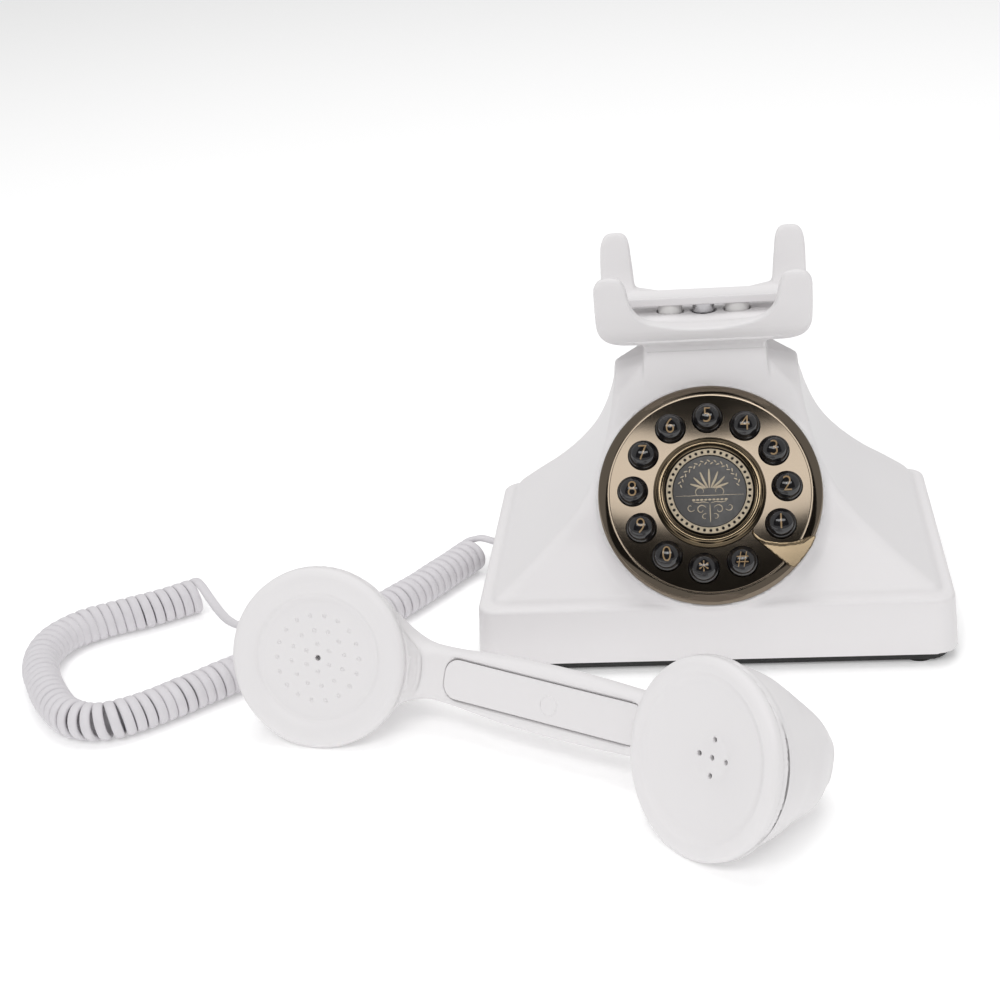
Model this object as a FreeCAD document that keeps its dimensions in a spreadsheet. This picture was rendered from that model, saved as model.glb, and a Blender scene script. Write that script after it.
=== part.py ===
import FreeCAD, Part
import math
import os
import re
import Sketcher
from FreeCAD import Placement, Rotation, Vector

# A push-button desk telephone with a tall neck, its handset lying on the table in front of it.
# Millimetres.  X is to the right, Y to the back and Z up.  The origin is the centre of the
# base's footprint on the table.

dimensions = {
    # base housing
    "base_width": 180, "base_depth": 126, "band_bottom": 5, "band_top": 27, "base_corner": 10,
    "wall": 2.5, "plate_bottom": 3.2, "plate_top": 6, "plate_inset": 3,
    "foot_radius": 5.5, "foot_reach_x": 76, "foot_reach_y": 53.5,
    # neck on top of the housing
    "shoulder_height": 101, "neck_top": 110.5, "neck_width": 45.6, "neck_front": -12.2,
    "neck_back": 16.8, "neck_centre": 2.3,
    # dial, in a frame whose Z axis leaves the dial squarely
    "dial_y": -43, "dial_z": 65, "dial_tilt": 54.3, "dial_radius": 41.9,
    "dial_thickness": 4.2, "boss_radius": 42.6, "boss_depth": 29, "boss_bore": 40.4,
    "key_ring": 28.7, "key_radius": 5.5, "key_gap": 0.35, "key_step": 29, "key_first": -27.1,
    "key_rise": 4.8, "key_foot": 5, "medal_radius": 16.4, "ring_radius": 20.8,
    "ring_rise": 3.2, "mat_top": 8, "mat_thick": 1.2, "board_thick": 1.6, "board_radius": 38.5,
    # cradle and hook
    "cradle_half": 40, "cradle_floor": 121.3, "post_reach": 12.7, "post_radius": 4.65,
    "pin_radius": 4.25, "post_gap": 0.35, "bar_bottom": 125.2, "bar_height": 3.4,
    "bar_half": 26.4, "bar_front": -3, "bar_back": 7.6, "yoke_top": 105, "roof_back": 12,
    # handset, in its own frame: X from mouthpiece to earpiece, Y to its back, Z across
    "handset_x": -74.07, "handset_y": -139.66, "handset_z": 32.05, "handset_yaw": -27.85,
    "handset_pitch": 0, "handset_roll": -21.68, "cap_reach": 77.3, "cap_tilt": 18.32,
    "cap_radius": 32.8, "cup_radius": 31, "cup_top": 4, "cup_depth": 46,
    "cup_wall": 2.4, "skirt_radius": 25.9, "grip_front": 22.3, "inlay_left": -36.5, "inlay_right": 46,
    "inlay_half": 7.5, "inlay_gap": 0.3, "inlay_thick": 1.8, "socket_y": 22, "socket_face": -107.5,
    # modular plugs and jacks
    "plug_wide": 7.65, "plug_high": 6.6, "plug_long": 12, "jack_wide": 12.5, "jack_high": 11.5,
    "jack_long": 14, "socket_room": 0.13, "jack_y": 27, "jack_z": 14, "line_x": -40,
    "line_wide": 9.65,
    # cord
    "cord_diameter": 3.6, "coil_diameter": 15, "coil_z": 7.7,
}

doc = FreeCAD.newDocument("Telephone")
sheet = doc.addObject("Spreadsheet::Sheet", "Sizes")
for row, (alias, amount) in enumerate(dimensions.items(), 1):
    sheet.set(f"A{row}", alias)
    sheet.set(f"B{row}", str(amount))
    sheet.setAlias(f"B{row}", alias)
doc.recompute()


def size(alias):
    """The value of one cell."""
    return float(sheet.get(alias))


def cells(text):
    """An expression in which each size's name is a reference to its cell."""
    def owned(word):
        return "Sizes." * (word.group() in dimensions) + word.group()
    return re.sub(r"[a-z_]+", owned, str(text))


def bind(thing, **expressions):
    """Tie properties of an object to expressions of the sizes."""
    for name, text in expressions.items():
        thing.setExpression(name.replace("__", "."), cells(text))
    return thing


def at(x=0, y=0, z=0, rotation=Rotation()):
    return Placement(Vector(x, y, z), rotation)


neck = at(0, size("neck_centre"), 0)
dial = at(0, size("dial_y"), size("dial_z"), Rotation(Vector(1, 0, 0), size("dial_tilt")))
handset = at(size("handset_x"), size("handset_y"), size("handset_z"),
             Rotation(size("handset_yaw"), size("handset_pitch"), size("handset_roll")))


def cup_frame(side):
    """The frame of a handset end: origin on its cap's face, Z leaving the face, side -1 or 1."""
    face = Rotation(Vector(0, 0, 1), size("cap_tilt") * -side) * Rotation(Vector(1, 0, 0), 90)
    return handset * at(side * size("cap_reach"), 0, 0, face)


# ---- shapes ---------------------------------------------------------------------------------

def box(name, place, **bounds):
    """A box from x, y and z given as pairs of expressions, low then high."""
    thing = doc.addObject("Part::Box", name)
    for axis, length in (("x", "Length"), ("y", "Width"), ("z", "Height")):
        low, high = bounds[axis]
        bind(thing, **{length: f"({high}) - ({low})"})
    corner = [number(bounds[axis][0]) for axis in "xyz"]
    thing.Placement = place * at(*corner)
    return thing


def number(text):
    """The value of an expression, read back from a spare cell of the sheet."""
    sheet.set("D1", "=" + re.sub(r"Sizes\.", "", cells(text)))
    sheet.recompute()
    return float(sheet.get("D1"))


def cylinder(name, place, radius, height, x=0, y=0, z=0):
    thing = bind(doc.addObject("Part::Cylinder", name), Radius=radius, Height=height)
    thing.Placement = place * at(number(x), number(y), number(z))
    return thing


def cone(name, place, low, high, height, z=0):
    thing = bind(doc.addObject("Part::Cone", name), Radius1=low, Radius2=high, Height=height)
    thing.Placement = place * at(0, 0, number(z))
    return thing


def fused(name, *parts):
    thing = doc.addObject("Part::MultiFuse", name)
    thing.Shapes = list(parts)
    return thing


def cut(name, base, *tools):
    tool = tools[0] if len(tools) == 1 else fused(name + "_tools", *tools)
    thing = doc.addObject("Part::Cut", name)
    thing.Base, thing.Tool = base, tool
    return thing


def common(name, one, other):
    thing = doc.addObject("Part::Common", name)
    thing.Base, thing.Tool = one, other
    return thing


def new_body(name):
    return doc.addObject("PartDesign::Body", name)


def outline(body, role, points, lift=None):
    """A closed sketch of straight lines, every corner held by two sizes."""
    plane = next(part for part in body.Origin.OriginFeatures if part.Role == role)
    sketch = body.newObject("Sketcher::SketchObject", body.Name + "_sketch")
    sketch.AttachmentSupport = [(plane, "")]
    sketch.MapMode = "FlatFace"
    if lift is not None:
        bind(sketch, AttachmentOffset__Base__z=lift)
    count = len(points)
    ring = [Vector(10 * math.cos(2 * math.pi * k / count), 10 * math.sin(2 * math.pi * k / count), 0)
            for k in range(count)]
    for k in range(count):
        sketch.addGeometry(Part.LineSegment(ring[k], ring[(k + 1) % count]))
    for k in range(count):
        sketch.addConstraint(Sketcher.Constraint("Coincident", k, 2, (k + 1) % count, 1))
    for k, corner in enumerate(points):
        for kind, text, guess in zip(("DistanceX", "DistanceY"), corner, ring[k]):
            held = sketch.addConstraint(Sketcher.Constraint(kind, k, 1, guess))
            bind(sketch, **{f"Constraints[{held}]": text})
    return sketch


def pad(body, sketch, length, middle=False):
    feature = body.newObject("PartDesign::Pad", body.Name + "_pad")
    feature.Profile = sketch
    feature.Midplane = middle
    bind(feature, Length=length)
    return feature


def turned(name, place, points):
    """A solid of revolution about Z from an outline of radius and height."""
    body = new_body(name)
    sketch = outline(body, "XZ_Plane", points)
    feature = body.newObject("PartDesign::Revolution", name + "_turn")
    feature.Profile = sketch
    feature.ReferenceAxis = (sketch, ["V_Axis"])
    feature.Angle = 360
    body.Placement = place
    return body


def drilled(body, role, centres, radius, lift=0):
    """Round through pockets in a PartDesign body, all in one sketch."""
    plane = next(part for part in body.Origin.OriginFeatures if part.Role == role)
    sketch = body.newObject("Sketcher::SketchObject", body.Name + "_holes")
    sketch.AttachmentSupport = [(plane, "")]
    sketch.MapMode = "FlatFace"
    bind(sketch, AttachmentOffset__Base__z=lift)
    for x, y in centres:
        circle = sketch.addGeometry(Part.Circle(Vector(x, y, 0), Vector(0, 0, 1), number(radius)))
        held = sketch.addConstraint(Sketcher.Constraint("Radius", circle, number(radius)))
        bind(sketch, **{f"Constraints[{held}]": radius})
    pocket = body.newObject("PartDesign::Pocket", body.Name + "_pocket")
    pocket.Profile = sketch
    pocket.Type = "ThroughAll"
    pocket.Midplane = True
    return pocket


def mirrored_profile(half):
    """A closed outline from its right half, listed from the middle out and round again."""
    return half + [(f"-({x})", y) for x, y in reversed(half) if x != "0"]


# ---- housing --------------------------------------------------------------------------------

# height, half width, front and back of the flared tower, from the ledge up
flare = [("band_top", 83.5, -58, 60), (37, 71.6, -50, 57), (51, 55.9, -41, 48.5), (64.5, 45.4, -32.8, 43),
         (78, 39.4, -25, 39), (88, 36.8, -19.2, 34.8), ("shoulder_height", 35.2, -11.9, "roof_back")]


def flared_tower(name, inset):
    """The tower between the ledge and the shoulders, each face moved in by the inset."""
    body = new_body(name)
    sections = []
    for height, half, front, back in flare:
        wide = f"{half} - {inset}"
        corners = [(f"-({wide})", f"{front} + {inset}"), (wide, f"{front} + {inset}"),
                   (wide, f"{back} - {inset}"), (f"-({wide})", f"{back} - {inset}")]
        sections.append(outline(body, "XY_Plane", corners, lift=f"{height} - {inset} * 0.4"))
    loft = body.newObject("PartDesign::AdditiveLoft", name + "_loft")
    loft.Profile = sections[0]
    loft.Sections = sections[1:]
    loft.Ruled = True
    return body


def skirt(name, inset, low, high):
    """The rounded rectangular band round the foot of the housing."""
    body = new_body(name)
    wide, deep = f"base_width / 2 - {inset}", f"base_depth / 2 - {inset}"
    sketch = outline(body, "XY_Plane", [(f"-({wide})", f"-({deep})"), (wide, f"-({deep})"), (wide, deep),
                                        (f"-({wide})", deep)], lift=low)
    block = pad(body, sketch, f"{high} - ({low})")
    doc.recompute()
    upright = [f"Edge{k}" for k, edge in enumerate(block.Shape.Edges, 1)
               if abs(edge.Vertexes[0].Z - edge.Vertexes[-1].Z) > 1]
    rounding = body.newObject("PartDesign::Fillet", name + "_round")
    rounding.Base = (block, upright)
    bind(rounding, Radius=f"base_corner - {inset}")
    return body


def shoulders(name, inset):
    """The roof from the tower's top to the neck, and the neck's own block."""
    body = new_body(name)
    low = [(f"-(35.2 - {inset})", f"-4 + {inset}"), (f"35.2 - {inset}", f"-4 + {inset}"),
           (f"35.2 - {inset}", f"roof_back - {inset}"), (f"-(35.2 - {inset})", f"roof_back - {inset}")]
    side = f"neck_width / 2 - {inset}"
    high = [(f"-({side})", "neck_centre"), (side, "neck_centre"), (side, f"roof_back - {inset}"),
            (f"-({side})", f"roof_back - {inset}")]
    sections = [outline(body, "XY_Plane", low, lift=f"shoulder_height - {inset} * 0.4 - 0.01"),
                outline(body, "XY_Plane", high, lift=f"neck_top - 3 - {inset}")]
    loft = body.newObject("PartDesign::AdditiveLoft", name + "_loft")
    loft.Profile = sections[0]
    loft.Sections = sections[1:]
    block = box(name + "_neck", at(), x=(f"-({side})", side),
                y=(f"neck_front + {inset}", f"neck_back - {inset}"), z=("90", f"neck_top - {inset}"))
    return fused(name + "_roof", body, block)


def jack_windows():
    """The two openings in the band that the jacks look out of."""
    cord_side = box("cord_window", at(), x=("-base_width / 2 - 1", "-base_width / 2 + wall + 1"),
                    y=("jack_y - 4.6", "jack_y + 4.6"), z=("jack_z - 4.2", "jack_z + 4.2"))
    line_side = box("line_window", at(), x=("line_x - 5.6", "line_x + 5.6"),
                    y=("base_depth / 2 - wall - 1", "base_depth / 2 + 1"),
                    z=("jack_z - 4.2", "jack_z + 4.2"))
    return [cord_side, line_side]


def post_bores(name, low, high):
    """Clearance bores for the hook's three posts."""
    length = f"{high} - ({low})"
    spots = (("-post_reach", "post_radius"), ("0", "pin_radius"), ("post_reach", "post_radius"))
    return [cylinder(f"{name}_{k}", neck, f"{radius} + post_gap", length, x=x, z=low)
            for k, (x, radius) in enumerate(spots)]


def body_shell():
    outer = fused("shell_outer", skirt("skirt_outer", "0", "band_bottom", "band_top"),
                  flared_tower("tower_outer", "0"), shoulders("roof_outer", "0"),
                  cone("boss", dial, "boss_radius + 2.2", "boss_radius", "boss_depth",
                       z="-dial_thickness - boss_depth"))
    seat = cylinder("dial_seat", dial, "dial_radius + 0.3", "6", z="-dial_thickness")
    inner = fused("shell_inner", skirt("skirt_inner", "wall", "band_bottom - 1", "band_top - wall"),
                  flared_tower("tower_inner", "wall"), shoulders("roof_inner", "wall"),
                  cylinder("boss_bore", dial, "boss_bore", "boss_depth + 8",
                           z="-dial_thickness - boss_depth - 8"))
    return cut("body_shell", outer, inner, seat, *jack_windows(),
               *post_bores("shell_bore", "100", "neck_top + 1"))


def base_plate():
    return skirt("base_plate", "plate_inset", "plate_bottom", "plate_top")


def corner_group(name, radius, height, reach_x, reach_y, low):
    """Four equal round pieces at the corners of a rectangle, as one group of solids."""
    spots = [(sx, sy) for sx in (-1, 1) for sy in (-1, 1)]
    pieces = [cylinder(f"{name}_{k}", at(), radius, height, x=f"{sx} * ({reach_x})", y=f"{sy} * ({reach_y})",
                       z=low) for k, (sx, sy) in enumerate(spots)]
    return fused(name, *pieces)


def rubber_feet():
    return corner_group("rubber_feet", "foot_radius", "plate_bottom", "foot_reach_x", "foot_reach_y", "0")


def base_screws():
    return corner_group("base_screws", "2.6", "1.4", "foot_reach_x - 14", "foot_reach_y",
                        "plate_bottom - 1.4")


# ---- dial -----------------------------------------------------------------------------------

key_names = ["1", "2", "3", "4", "5", "6", "7", "8", "9", "0", "star", "hash"]


def key_spot(index):
    """A key's place on the dial, counted from key 1 and going round anticlockwise."""
    angle = math.radians(size("key_first") + index * size("key_step"))
    return size("key_ring") * math.cos(angle), size("key_ring") * math.sin(angle)


def dial_plate():
    plate = turned("dial_plate", dial, [
        ("medal_radius + 0.4", "-dial_thickness"), ("dial_radius", "-dial_thickness"),
        ("dial_radius", "-2.4"), ("dial_radius - 1.4", "-0.9"), ("dial_radius * 0.91", "-0.6"),
        ("dial_radius * 0.91 - 0.3", "-1.1"), ("dial_radius * 0.89", "-1.1"),
        ("dial_radius * 0.89 - 0.3", "-0.6"), ("medal_radius + 0.4", "0")])
    drilled(plate, "XY_Plane", [key_spot(k) for k in range(len(key_names))], "key_radius + key_gap")
    return plate


def centre_ring():
    return turned("centre_ring", dial, [
        ("medal_radius + 0.4", "0"), ("ring_radius", "0"), ("ring_radius", "ring_rise * 0.5"),
        ("ring_radius - 1", "ring_rise * 0.6"), ("ring_radius - 1.4", "ring_rise"),
        ("medal_radius + 1", "ring_rise"), ("medal_radius + 0.4", "ring_rise * 0.5")])


def medallion_button():
    return turned("medallion_button", dial, [
        ("0", "-3"), ("medal_radius", "-3"), ("medal_radius", "ring_rise - 0.7"),
        ("medal_radius - 0.5", "ring_rise - 0.4"), ("13.6", "ring_rise - 0.4"),
        ("13.3", "ring_rise - 0.8"), ("0", "ring_rise - 0.8")])


def finger_stop():
    """A flat wedge from the rim to beside key 1, lying on the dial plate."""
    body = new_body("finger_stop")
    points = [("15.2", "-15.2"), ("17.8", "-17.7"), ("20.3", "-18.9"), ("25", "-19.7"), ("30", "-19.6"),
              ("33.6", "-18.8"), ("36.4", "-18"), ("35.4", "-21.6"), ("32.8", "-25.8"), ("29.7", "-28.9"),
              ("24.2", "-25"), ("19.6", "-21"), ("15.8", "-17")]
    pad(body, outline(body, "XY_Plane", points, lift="0"), "0.8")
    body.Placement = dial
    return body


def dial_key(name, index):
    x, y = key_spot(index)
    return turned(f"key_{name}", dial * at(x, y, 0), [
        ("0", "-key_foot"), ("key_radius", "-key_foot"), ("key_radius", "1"),
        ("key_radius * 0.92", "key_rise * 0.62"), ("key_radius * 0.72", "key_rise * 0.84"),
        ("key_radius * 0.4", "key_rise * 0.96"), ("0", "key_rise")])


def key_mat():
    """A rubber mat with a low dome under each key and one under the medallion."""
    sheet_disc = cylinder("mat_sheet", dial, "board_radius", "mat_thick", z="-mat_top - mat_thick")
    domes = []
    for k in range(len(key_names)):
        x, y = key_spot(k)
        domes.append(cone(f"mat_dome_{k}", dial * at(x, y, 0), "4", "2.6", "1.4", z="-mat_top"))
    centre = cone("mat_centre", dial, "7", "5", "3.9", z="-mat_top")
    return fused("key_mat", sheet_disc, centre, *domes)


def keypad_board():
    return cylinder("keypad_board", dial, "board_radius + 0.8", "board_thick",
                    z="-mat_top - mat_thick - board_thick")


def keypad_screws():
    spots = [math.radians(45 + 90 * k) for k in range(4)]
    heads = [cylinder(f"keypad_screw_{k}", dial * at(36 * math.cos(a), 36 * math.sin(a), 0), "2.2", "1.5",
                      z="-mat_top - mat_thick - board_thick - 1.5") for k, a in enumerate(spots)]
    return fused("keypad_screws", *heads)


# ---- cradle and hook ------------------------------------------------------------------------

def extruded(name, role, half, length, place):
    """A mirrored outline pushed out both ways from its plane."""
    body = new_body(name)
    pad(body, outline(body, role, mirrored_profile(half)), length, middle=True)
    body.Placement = place
    return body


def cradle():
    side = [("0", "115.2"), ("12", "115.5"), ("18", "117.5"), ("22.5", "122"), ("25.5", "129"), ("28", "136"),
            ("30.8", "143.8"), ("28.3", "144.6"), ("25", "136.5"), ("22.3", "129.8"), ("19.5", "124.2"),
            ("15.5", "cradle_floor"), ("0", "cradle_floor + 0.3")]
    front = [("0", "114.8"), ("12", "115.3"), ("23", "117"), ("32", "117"), ("37", "119.5"),
             ("cradle_half - 0.4", "124"), ("cradle_half", "130"), ("cradle_half - 0.4", "140"),
             ("37.5", "144"), ("34", "145.2"), ("30", "144"), ("28", "141"), ("26.9", "134"),
             ("24", "128"), ("19", "125"), ("10", "123.2"), ("0", "122.6")]
    fork = common("cradle_fork", extruded("cradle_side", "YZ_Plane", side, "2 * cradle_half + 4", neck),
                  extruded("cradle_front", "XZ_Plane", front, "80", neck))
    foot = box("cradle_foot", at(), x=("-neck_width / 2", "neck_width / 2"),
               y=("neck_front + 2.5", "neck_back - 2.5"), z=("neck_top", "117"))
    return cut("cradle", fused("cradle_solid", fork, foot), *post_bores("cradle_bore", "110", "124"))


def hook_bar():
    middle = "(bar_front + bar_back) / 2 - neck_centre"
    half = "(bar_back - bar_front) / 2"
    body = new_body("hook_bar")
    points = [(f"{middle} - ({half})", "bar_bottom"), (f"{middle} + {half}", "bar_bottom"),
              (f"{middle} + {half}", "bar_bottom + bar_height"), (middle, "bar_bottom + bar_height - 0.9"),
              (f"{middle} - ({half})", "bar_bottom + bar_height")]
    pad(body, outline(body, "YZ_Plane", points), "2 * bar_half", middle=True)
    body.Placement = neck
    return body


def hook_post(name, x, radius):
    return cylinder(name, neck, radius, "bar_bottom - yoke_top", x=x, z="yoke_top")


def hook_yoke():
    return box("hook_yoke", neck, x=("-18", "18"), y=("-5", "5"), z=("yoke_top - 2", "yoke_top"))


def hook_spring():
    """The return spring, drawn as its envelope tube between the bracket and the yoke."""
    return cut("hook_spring", cylinder("spring_outside", neck, "3.4", "yoke_top - 95", z="93"),
               cylinder("spring_inside", neck, "2.5", "yoke_top - 95", z="93"))


def hook_bracket():
    return box("hook_bracket", neck, x=("-30", "30"), y=("-7", "18"), z=("91", "93"))


def hook_switch():
    case = box("switch_case", neck, x=("8", "17"), y=("-4", "4"), z=("93", "98.5"))
    plunger = cylinder("switch_plunger", neck, "1.2", "1.6", x="12.5", z="98.4")
    return fused("hook_switch", case, plunger)


# ---- inside the base ------------------------------------------------------------------------

def main_board():
    return box("main_board", at(), x=("-62", "62"), y=("4", "45"), z=("11", "12.6"))


def ballast_plate():
    return box("ballast_plate", at(), x=("-30", "30"), y=("-50", "-12"), z=("plate_top", "plate_top + 5"))


def speaker():
    return turned("speaker", at(55, -28, size("plate_top")), [
        ("0", "0"), ("18", "0"), ("18", "3"), ("11", "7"), ("11", "12"), ("0", "12")])


def jack(name, place, wide):
    """A modular jack: a block with a socket open on its local X side."""
    half = f"(({wide}) / 2 + 2.3)"
    block = box(name + "_block", place, x=("-jack_long", "0"), y=(f"-{half}", half),
                z=("-jack_high / 2", "jack_high / 2"))
    socket = box(name + "_socket", place, x=("-plug_long", "1"),
                 y=(f"-({wide}) / 2 - socket_room", f"({wide}) / 2 + socket_room"),
                 z=("-plug_high / 2 - socket_room", "plug_high / 2 + socket_room"))
    return cut(name, block, socket)


def plug(name, place):
    """A modular plug, seated in its socket with its cable end just outside."""
    return box(name, place, x=("-plug_long + 0.5", "0.5"), y=("-plug_wide / 2", "plug_wide / 2"),
               z=("-plug_high / 2", "plug_high / 2"))


jack_depth = size("base_width") / 2 - size("wall") - 0.1
cord_jack_place = at(-jack_depth, size("jack_y"), size("jack_z"), Rotation(Vector(0, 0, 1), 180))
line_jack_place = at(size("line_x"), size("base_depth") / 2 - size("wall") - 0.1, size("jack_z"),
                     Rotation(Vector(0, 0, 1), 90))
handset_jack_place = handset * at(size("socket_face"), size("socket_y"), 0, Rotation(Vector(0, 0, 1), 180))


# ---- handset --------------------------------------------------------------------------------

# radius and depth behind the cap, down a handset end
cup_rows = [(30.1, 10), (27.5, 17), (25.7, 22), (23.8, 27), (21.9, 32), (19, 37), (14.6, 41), (9.5, 44)]


def cup(name, side, inset):
    """One end of the handset: a bowl turned about its cap's axis."""
    wall = [(f"{radius} - {inset}", f"-{depth} + {inset} * 0.7") for radius, depth in cup_rows]
    mouth = f"-cup_top + {inset} * 0.5"
    return turned(name, cup_frame(side), [
        ("0", mouth), (f"cup_radius - {inset}", mouth), *wall, ("0", f"-cup_depth + {inset}")])


def cup_mouth(name, side):
    """The round opening that a cap's skirt goes into."""
    return cylinder(name, cup_frame(side), "skirt_radius + 0.3", "cup_top + 4.6", z="-cup_top - 4.6")


def grip():
    body = new_body("grip")
    section = [("grip_front", "-10.4"), ("27", "-12.3"), ("33.5", "-10"), ("41", "-3.4"), ("42", "0"),
               ("41", "3.4"), ("33.5", "10"), ("27", "12.3"), ("grip_front", "10.4")]
    pad(body, outline(body, "YZ_Plane", section), "2 * cap_reach", middle=True)
    body.Placement = handset
    return body


def inlay_seat():
    return box("inlay_seat", handset, x=("inlay_left", "inlay_right"),
               y=("grip_front - 1", "grip_front + inlay_thick"), z=("-inlay_half", "inlay_half"))


def handset_shell():
    outer = fused("handset_outer", grip(), cup("mouth_cup", -1, "0"), cup("ear_cup", 1, "0"))
    window = box("handset_window", handset, x=("socket_face - 4", "socket_face + 14.6"),
                 y=("socket_y - 6.2", "socket_y + 6.2"), z=("-6", "6"))
    bay = box("weight_bay", handset, x=("-34", "42"), y=("grip_front", "grip_front + 12"), z=("-6", "6"))
    return cut("handset_shell", outer, cup("mouth_room", -1, "cup_wall"), cup("ear_room", 1, "cup_wall"),
               cup_mouth("mouth_opening", -1), cup_mouth("ear_opening", 1), window, bay, inlay_seat())


def grip_inlay():
    body = new_body("inlay_bar")
    low, high = "inlay_left + inlay_gap", "inlay_right - inlay_gap"
    half = "(inlay_half - inlay_gap)"
    points = [(low, f"-{half} * 0.5"), (f"{low} + 2.2", f"-{half}"), (f"{high} - 2.2", f"-{half}"),
              (high, f"-{half} * 0.5"), (high, f"{half} * 0.5"), (f"{high} - 2.2", half),
              (f"{low} + 2.2", half), (low, f"{half} * 0.5")]
    plank = pad(body, outline(body, "XZ_Plane", points), "inlay_thick")
    plank.Reversed = True
    body.Placement = handset * at(0, size("grip_front"), 0)
    disc = cylinder("inlay_disc", handset * at(8, size("grip_front"), -0.8, Rotation(Vector(1, 0, 0), 90)),
                    "3.2", "0.25", z="-0.05")
    return fused("grip_inlay", body, disc)


def hole_circle(radius, count, turn):
    """A middle hole and a circle of holes round it."""
    turns = [math.radians(360 * k / count + turn) for k in range(count)]
    return [(0, 0)] + [(radius * math.cos(a), radius * math.sin(a)) for a in turns]


def mouthpiece_cap():
    cap = turned("mouthpiece_cap", cup_frame(-1), [
        ("0", "-1.7"), ("22.6", "-1.7"), ("25.5", "-0.8"), ("30.5", "0"), ("cap_radius", "-1.6"),
        ("cap_radius", "-3.6"), ("cup_radius + 0.6", "-cup_top"), ("skirt_radius", "-cup_top"),
        ("skirt_radius", "-8.2"),
        ("skirt_radius - 2", "-8.2"), ("skirt_radius - 2", "-cup_top"), ("0", "-cup_top")])
    drilled(cap, "XY_Plane", hole_circle(5, 6, 38), "0.6")
    return cap


def earpiece_cap():
    cap = turned("earpiece_cap", cup_frame(1), [
        ("0", "-6"), ("7.8", "-6"), ("16", "-4.2"), ("26.5", "-0.6"), ("30", "0"),
        ("cap_radius", "-1.6"),
        ("cap_radius", "-3.6"), ("cup_radius + 0.6", "-cup_top"), ("skirt_radius", "-cup_top"),
        ("skirt_radius", "-8.2"),
        ("skirt_radius - 2", "-8.2"), ("skirt_radius - 2", "-cup_top - 1.6"), ("16", "-6.8"),
        ("7.8", "-8.2"), ("0", "-8.2")])
    drilled(cap, "XY_Plane", hole_circle(6, 4, 0), "0.85")
    return cap


def microphone():
    return cylinder("microphone", cup_frame(-1), "11", "7", z="-12")


def receiver():
    return cylinder("receiver", cup_frame(1), "19", "8", z="-17")


def handset_weight():
    return box("handset_weight", handset, x=("-30", "38"), y=("grip_front + 4", "grip_front + 11"),
               z=("-5", "5"))


# ---- cord -----------------------------------------------------------------------------------

coil_route = [(-101.5, 31), (-112.5, 12), (-127.5, -12.5), (-147, -35.5), (-167.5, -55.5), (-187, -72.5),
              (-204, -89), (-218, -100.5), (-229.5, -104), (-240.5, -99.5), (-249.5, -88.5), (-258, -74),
              (-266, -56), (-265.5, -40), (-258.5, -28), (-245.5, -19.5), (-230, -12), (-214.6, -0.5)]
base_lead_route = [(-89.9, 27, 14), (-95.3, 29.2, 15.6), (-100.4, 32.6, 14.6)]
handset_lead_route = [(-170.6, -66.4, 24.4), (-182.5, -55, 20.6), (-190.8, -41.5, 15.8), (-198, -27.5, 12.2),
                      (-204.4, -11.1, 10.8), (-214.6, 2.5, 11)]


def rounded_path(points):
    """A wire of straight runs joined by tangent arcs as large as the runs allow, and its radii."""
    edges, radii, start = [], [], points[0]
    for before, corner, after in zip(points, points[1:], points[2:]):
        back, ahead = (before - corner), (after - corner)
        reach = 0.45 * min(back.Length, ahead.Length)
        half_turn = (math.pi - back.getAngle(ahead)) / 2
        radii.append(reach / math.tan(half_turn))
        first = corner + back.normalize() * reach
        last = corner + ahead.normalize() * reach
        bisector = (back + ahead).normalize()
        middle = corner + bisector * (radii[-1] / math.cos(half_turn) - radii[-1])
        edges += [Part.LineSegment(start, first).toShape(), Part.Arc(first, middle, last).toShape()]
        start = last
    edges.append(Part.LineSegment(start, points[-1]).toShape())
    return Part.Wire(edges), radii


def cord_tube(name, points, diameter):
    """A round tube along a rounded path; its volume is compared with section times length."""
    path, radii = rounded_path([Vector(*point) for point in points])
    first = path.Edges[0]
    circle = Part.Circle(Vector(*points[0]), first.tangentAt(first.FirstParameter), diameter / 2)
    tube = doc.addObject("Part::Feature", name)
    tube.Shape = path.makePipeShell([Part.Wire(circle.toShape())], True, False)
    expected = math.pi * diameter ** 2 / 4 * path.Length
    print(f"{name}: length {path.Length:.1f}, smallest radius {min(radii):.1f},"
          f" volume {tube.Shape.Volume / expected:.4f} of section times length")
    return tube


def cord_coil():
    return cord_tube("cord_coil", [(x, y, size("coil_z")) for x, y in coil_route], size("coil_diameter"))


def cord_lead_handset():
    exit_point = handset.multVec(Vector(size("socket_face") - 0.8, size("socket_y"), 0))
    return cord_tube("cord_lead_handset", [tuple(exit_point)] + handset_lead_route, size("cord_diameter"))


# ---- assembly -------------------------------------------------------------------------------

pieces = [
    body_shell(), base_plate(), rubber_feet(), base_screws(),
    dial_plate(), centre_ring(), medallion_button(), finger_stop(), key_mat(), keypad_board(),
    keypad_screws(),
    cradle(), hook_bar(), hook_post("hook_post_left", "-post_reach", "post_radius"),
    hook_post("hook_post_right", "post_reach", "post_radius"),
    hook_post("hook_centre_pin", "0", "pin_radius"),
    hook_yoke(), hook_spring(), hook_bracket(), hook_switch(),
    main_board(), ballast_plate(), speaker(),
    jack("handset_cord_jack", cord_jack_place, "plug_wide"),
    jack("line_jack", line_jack_place, "line_wide"),
    handset_shell(), grip_inlay(), mouthpiece_cap(), earpiece_cap(), microphone(), receiver(),
    handset_weight(),
    jack("handset_socket", handset_jack_place, "plug_wide"),
    plug("cord_plug_base", cord_jack_place), plug("cord_plug_handset", handset_jack_place),
    cord_tube("cord_lead_base", base_lead_route, size("cord_diameter")), cord_coil(), cord_lead_handset(),
] + [dial_key(name, index) for index, name in enumerate(key_names)]

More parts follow.
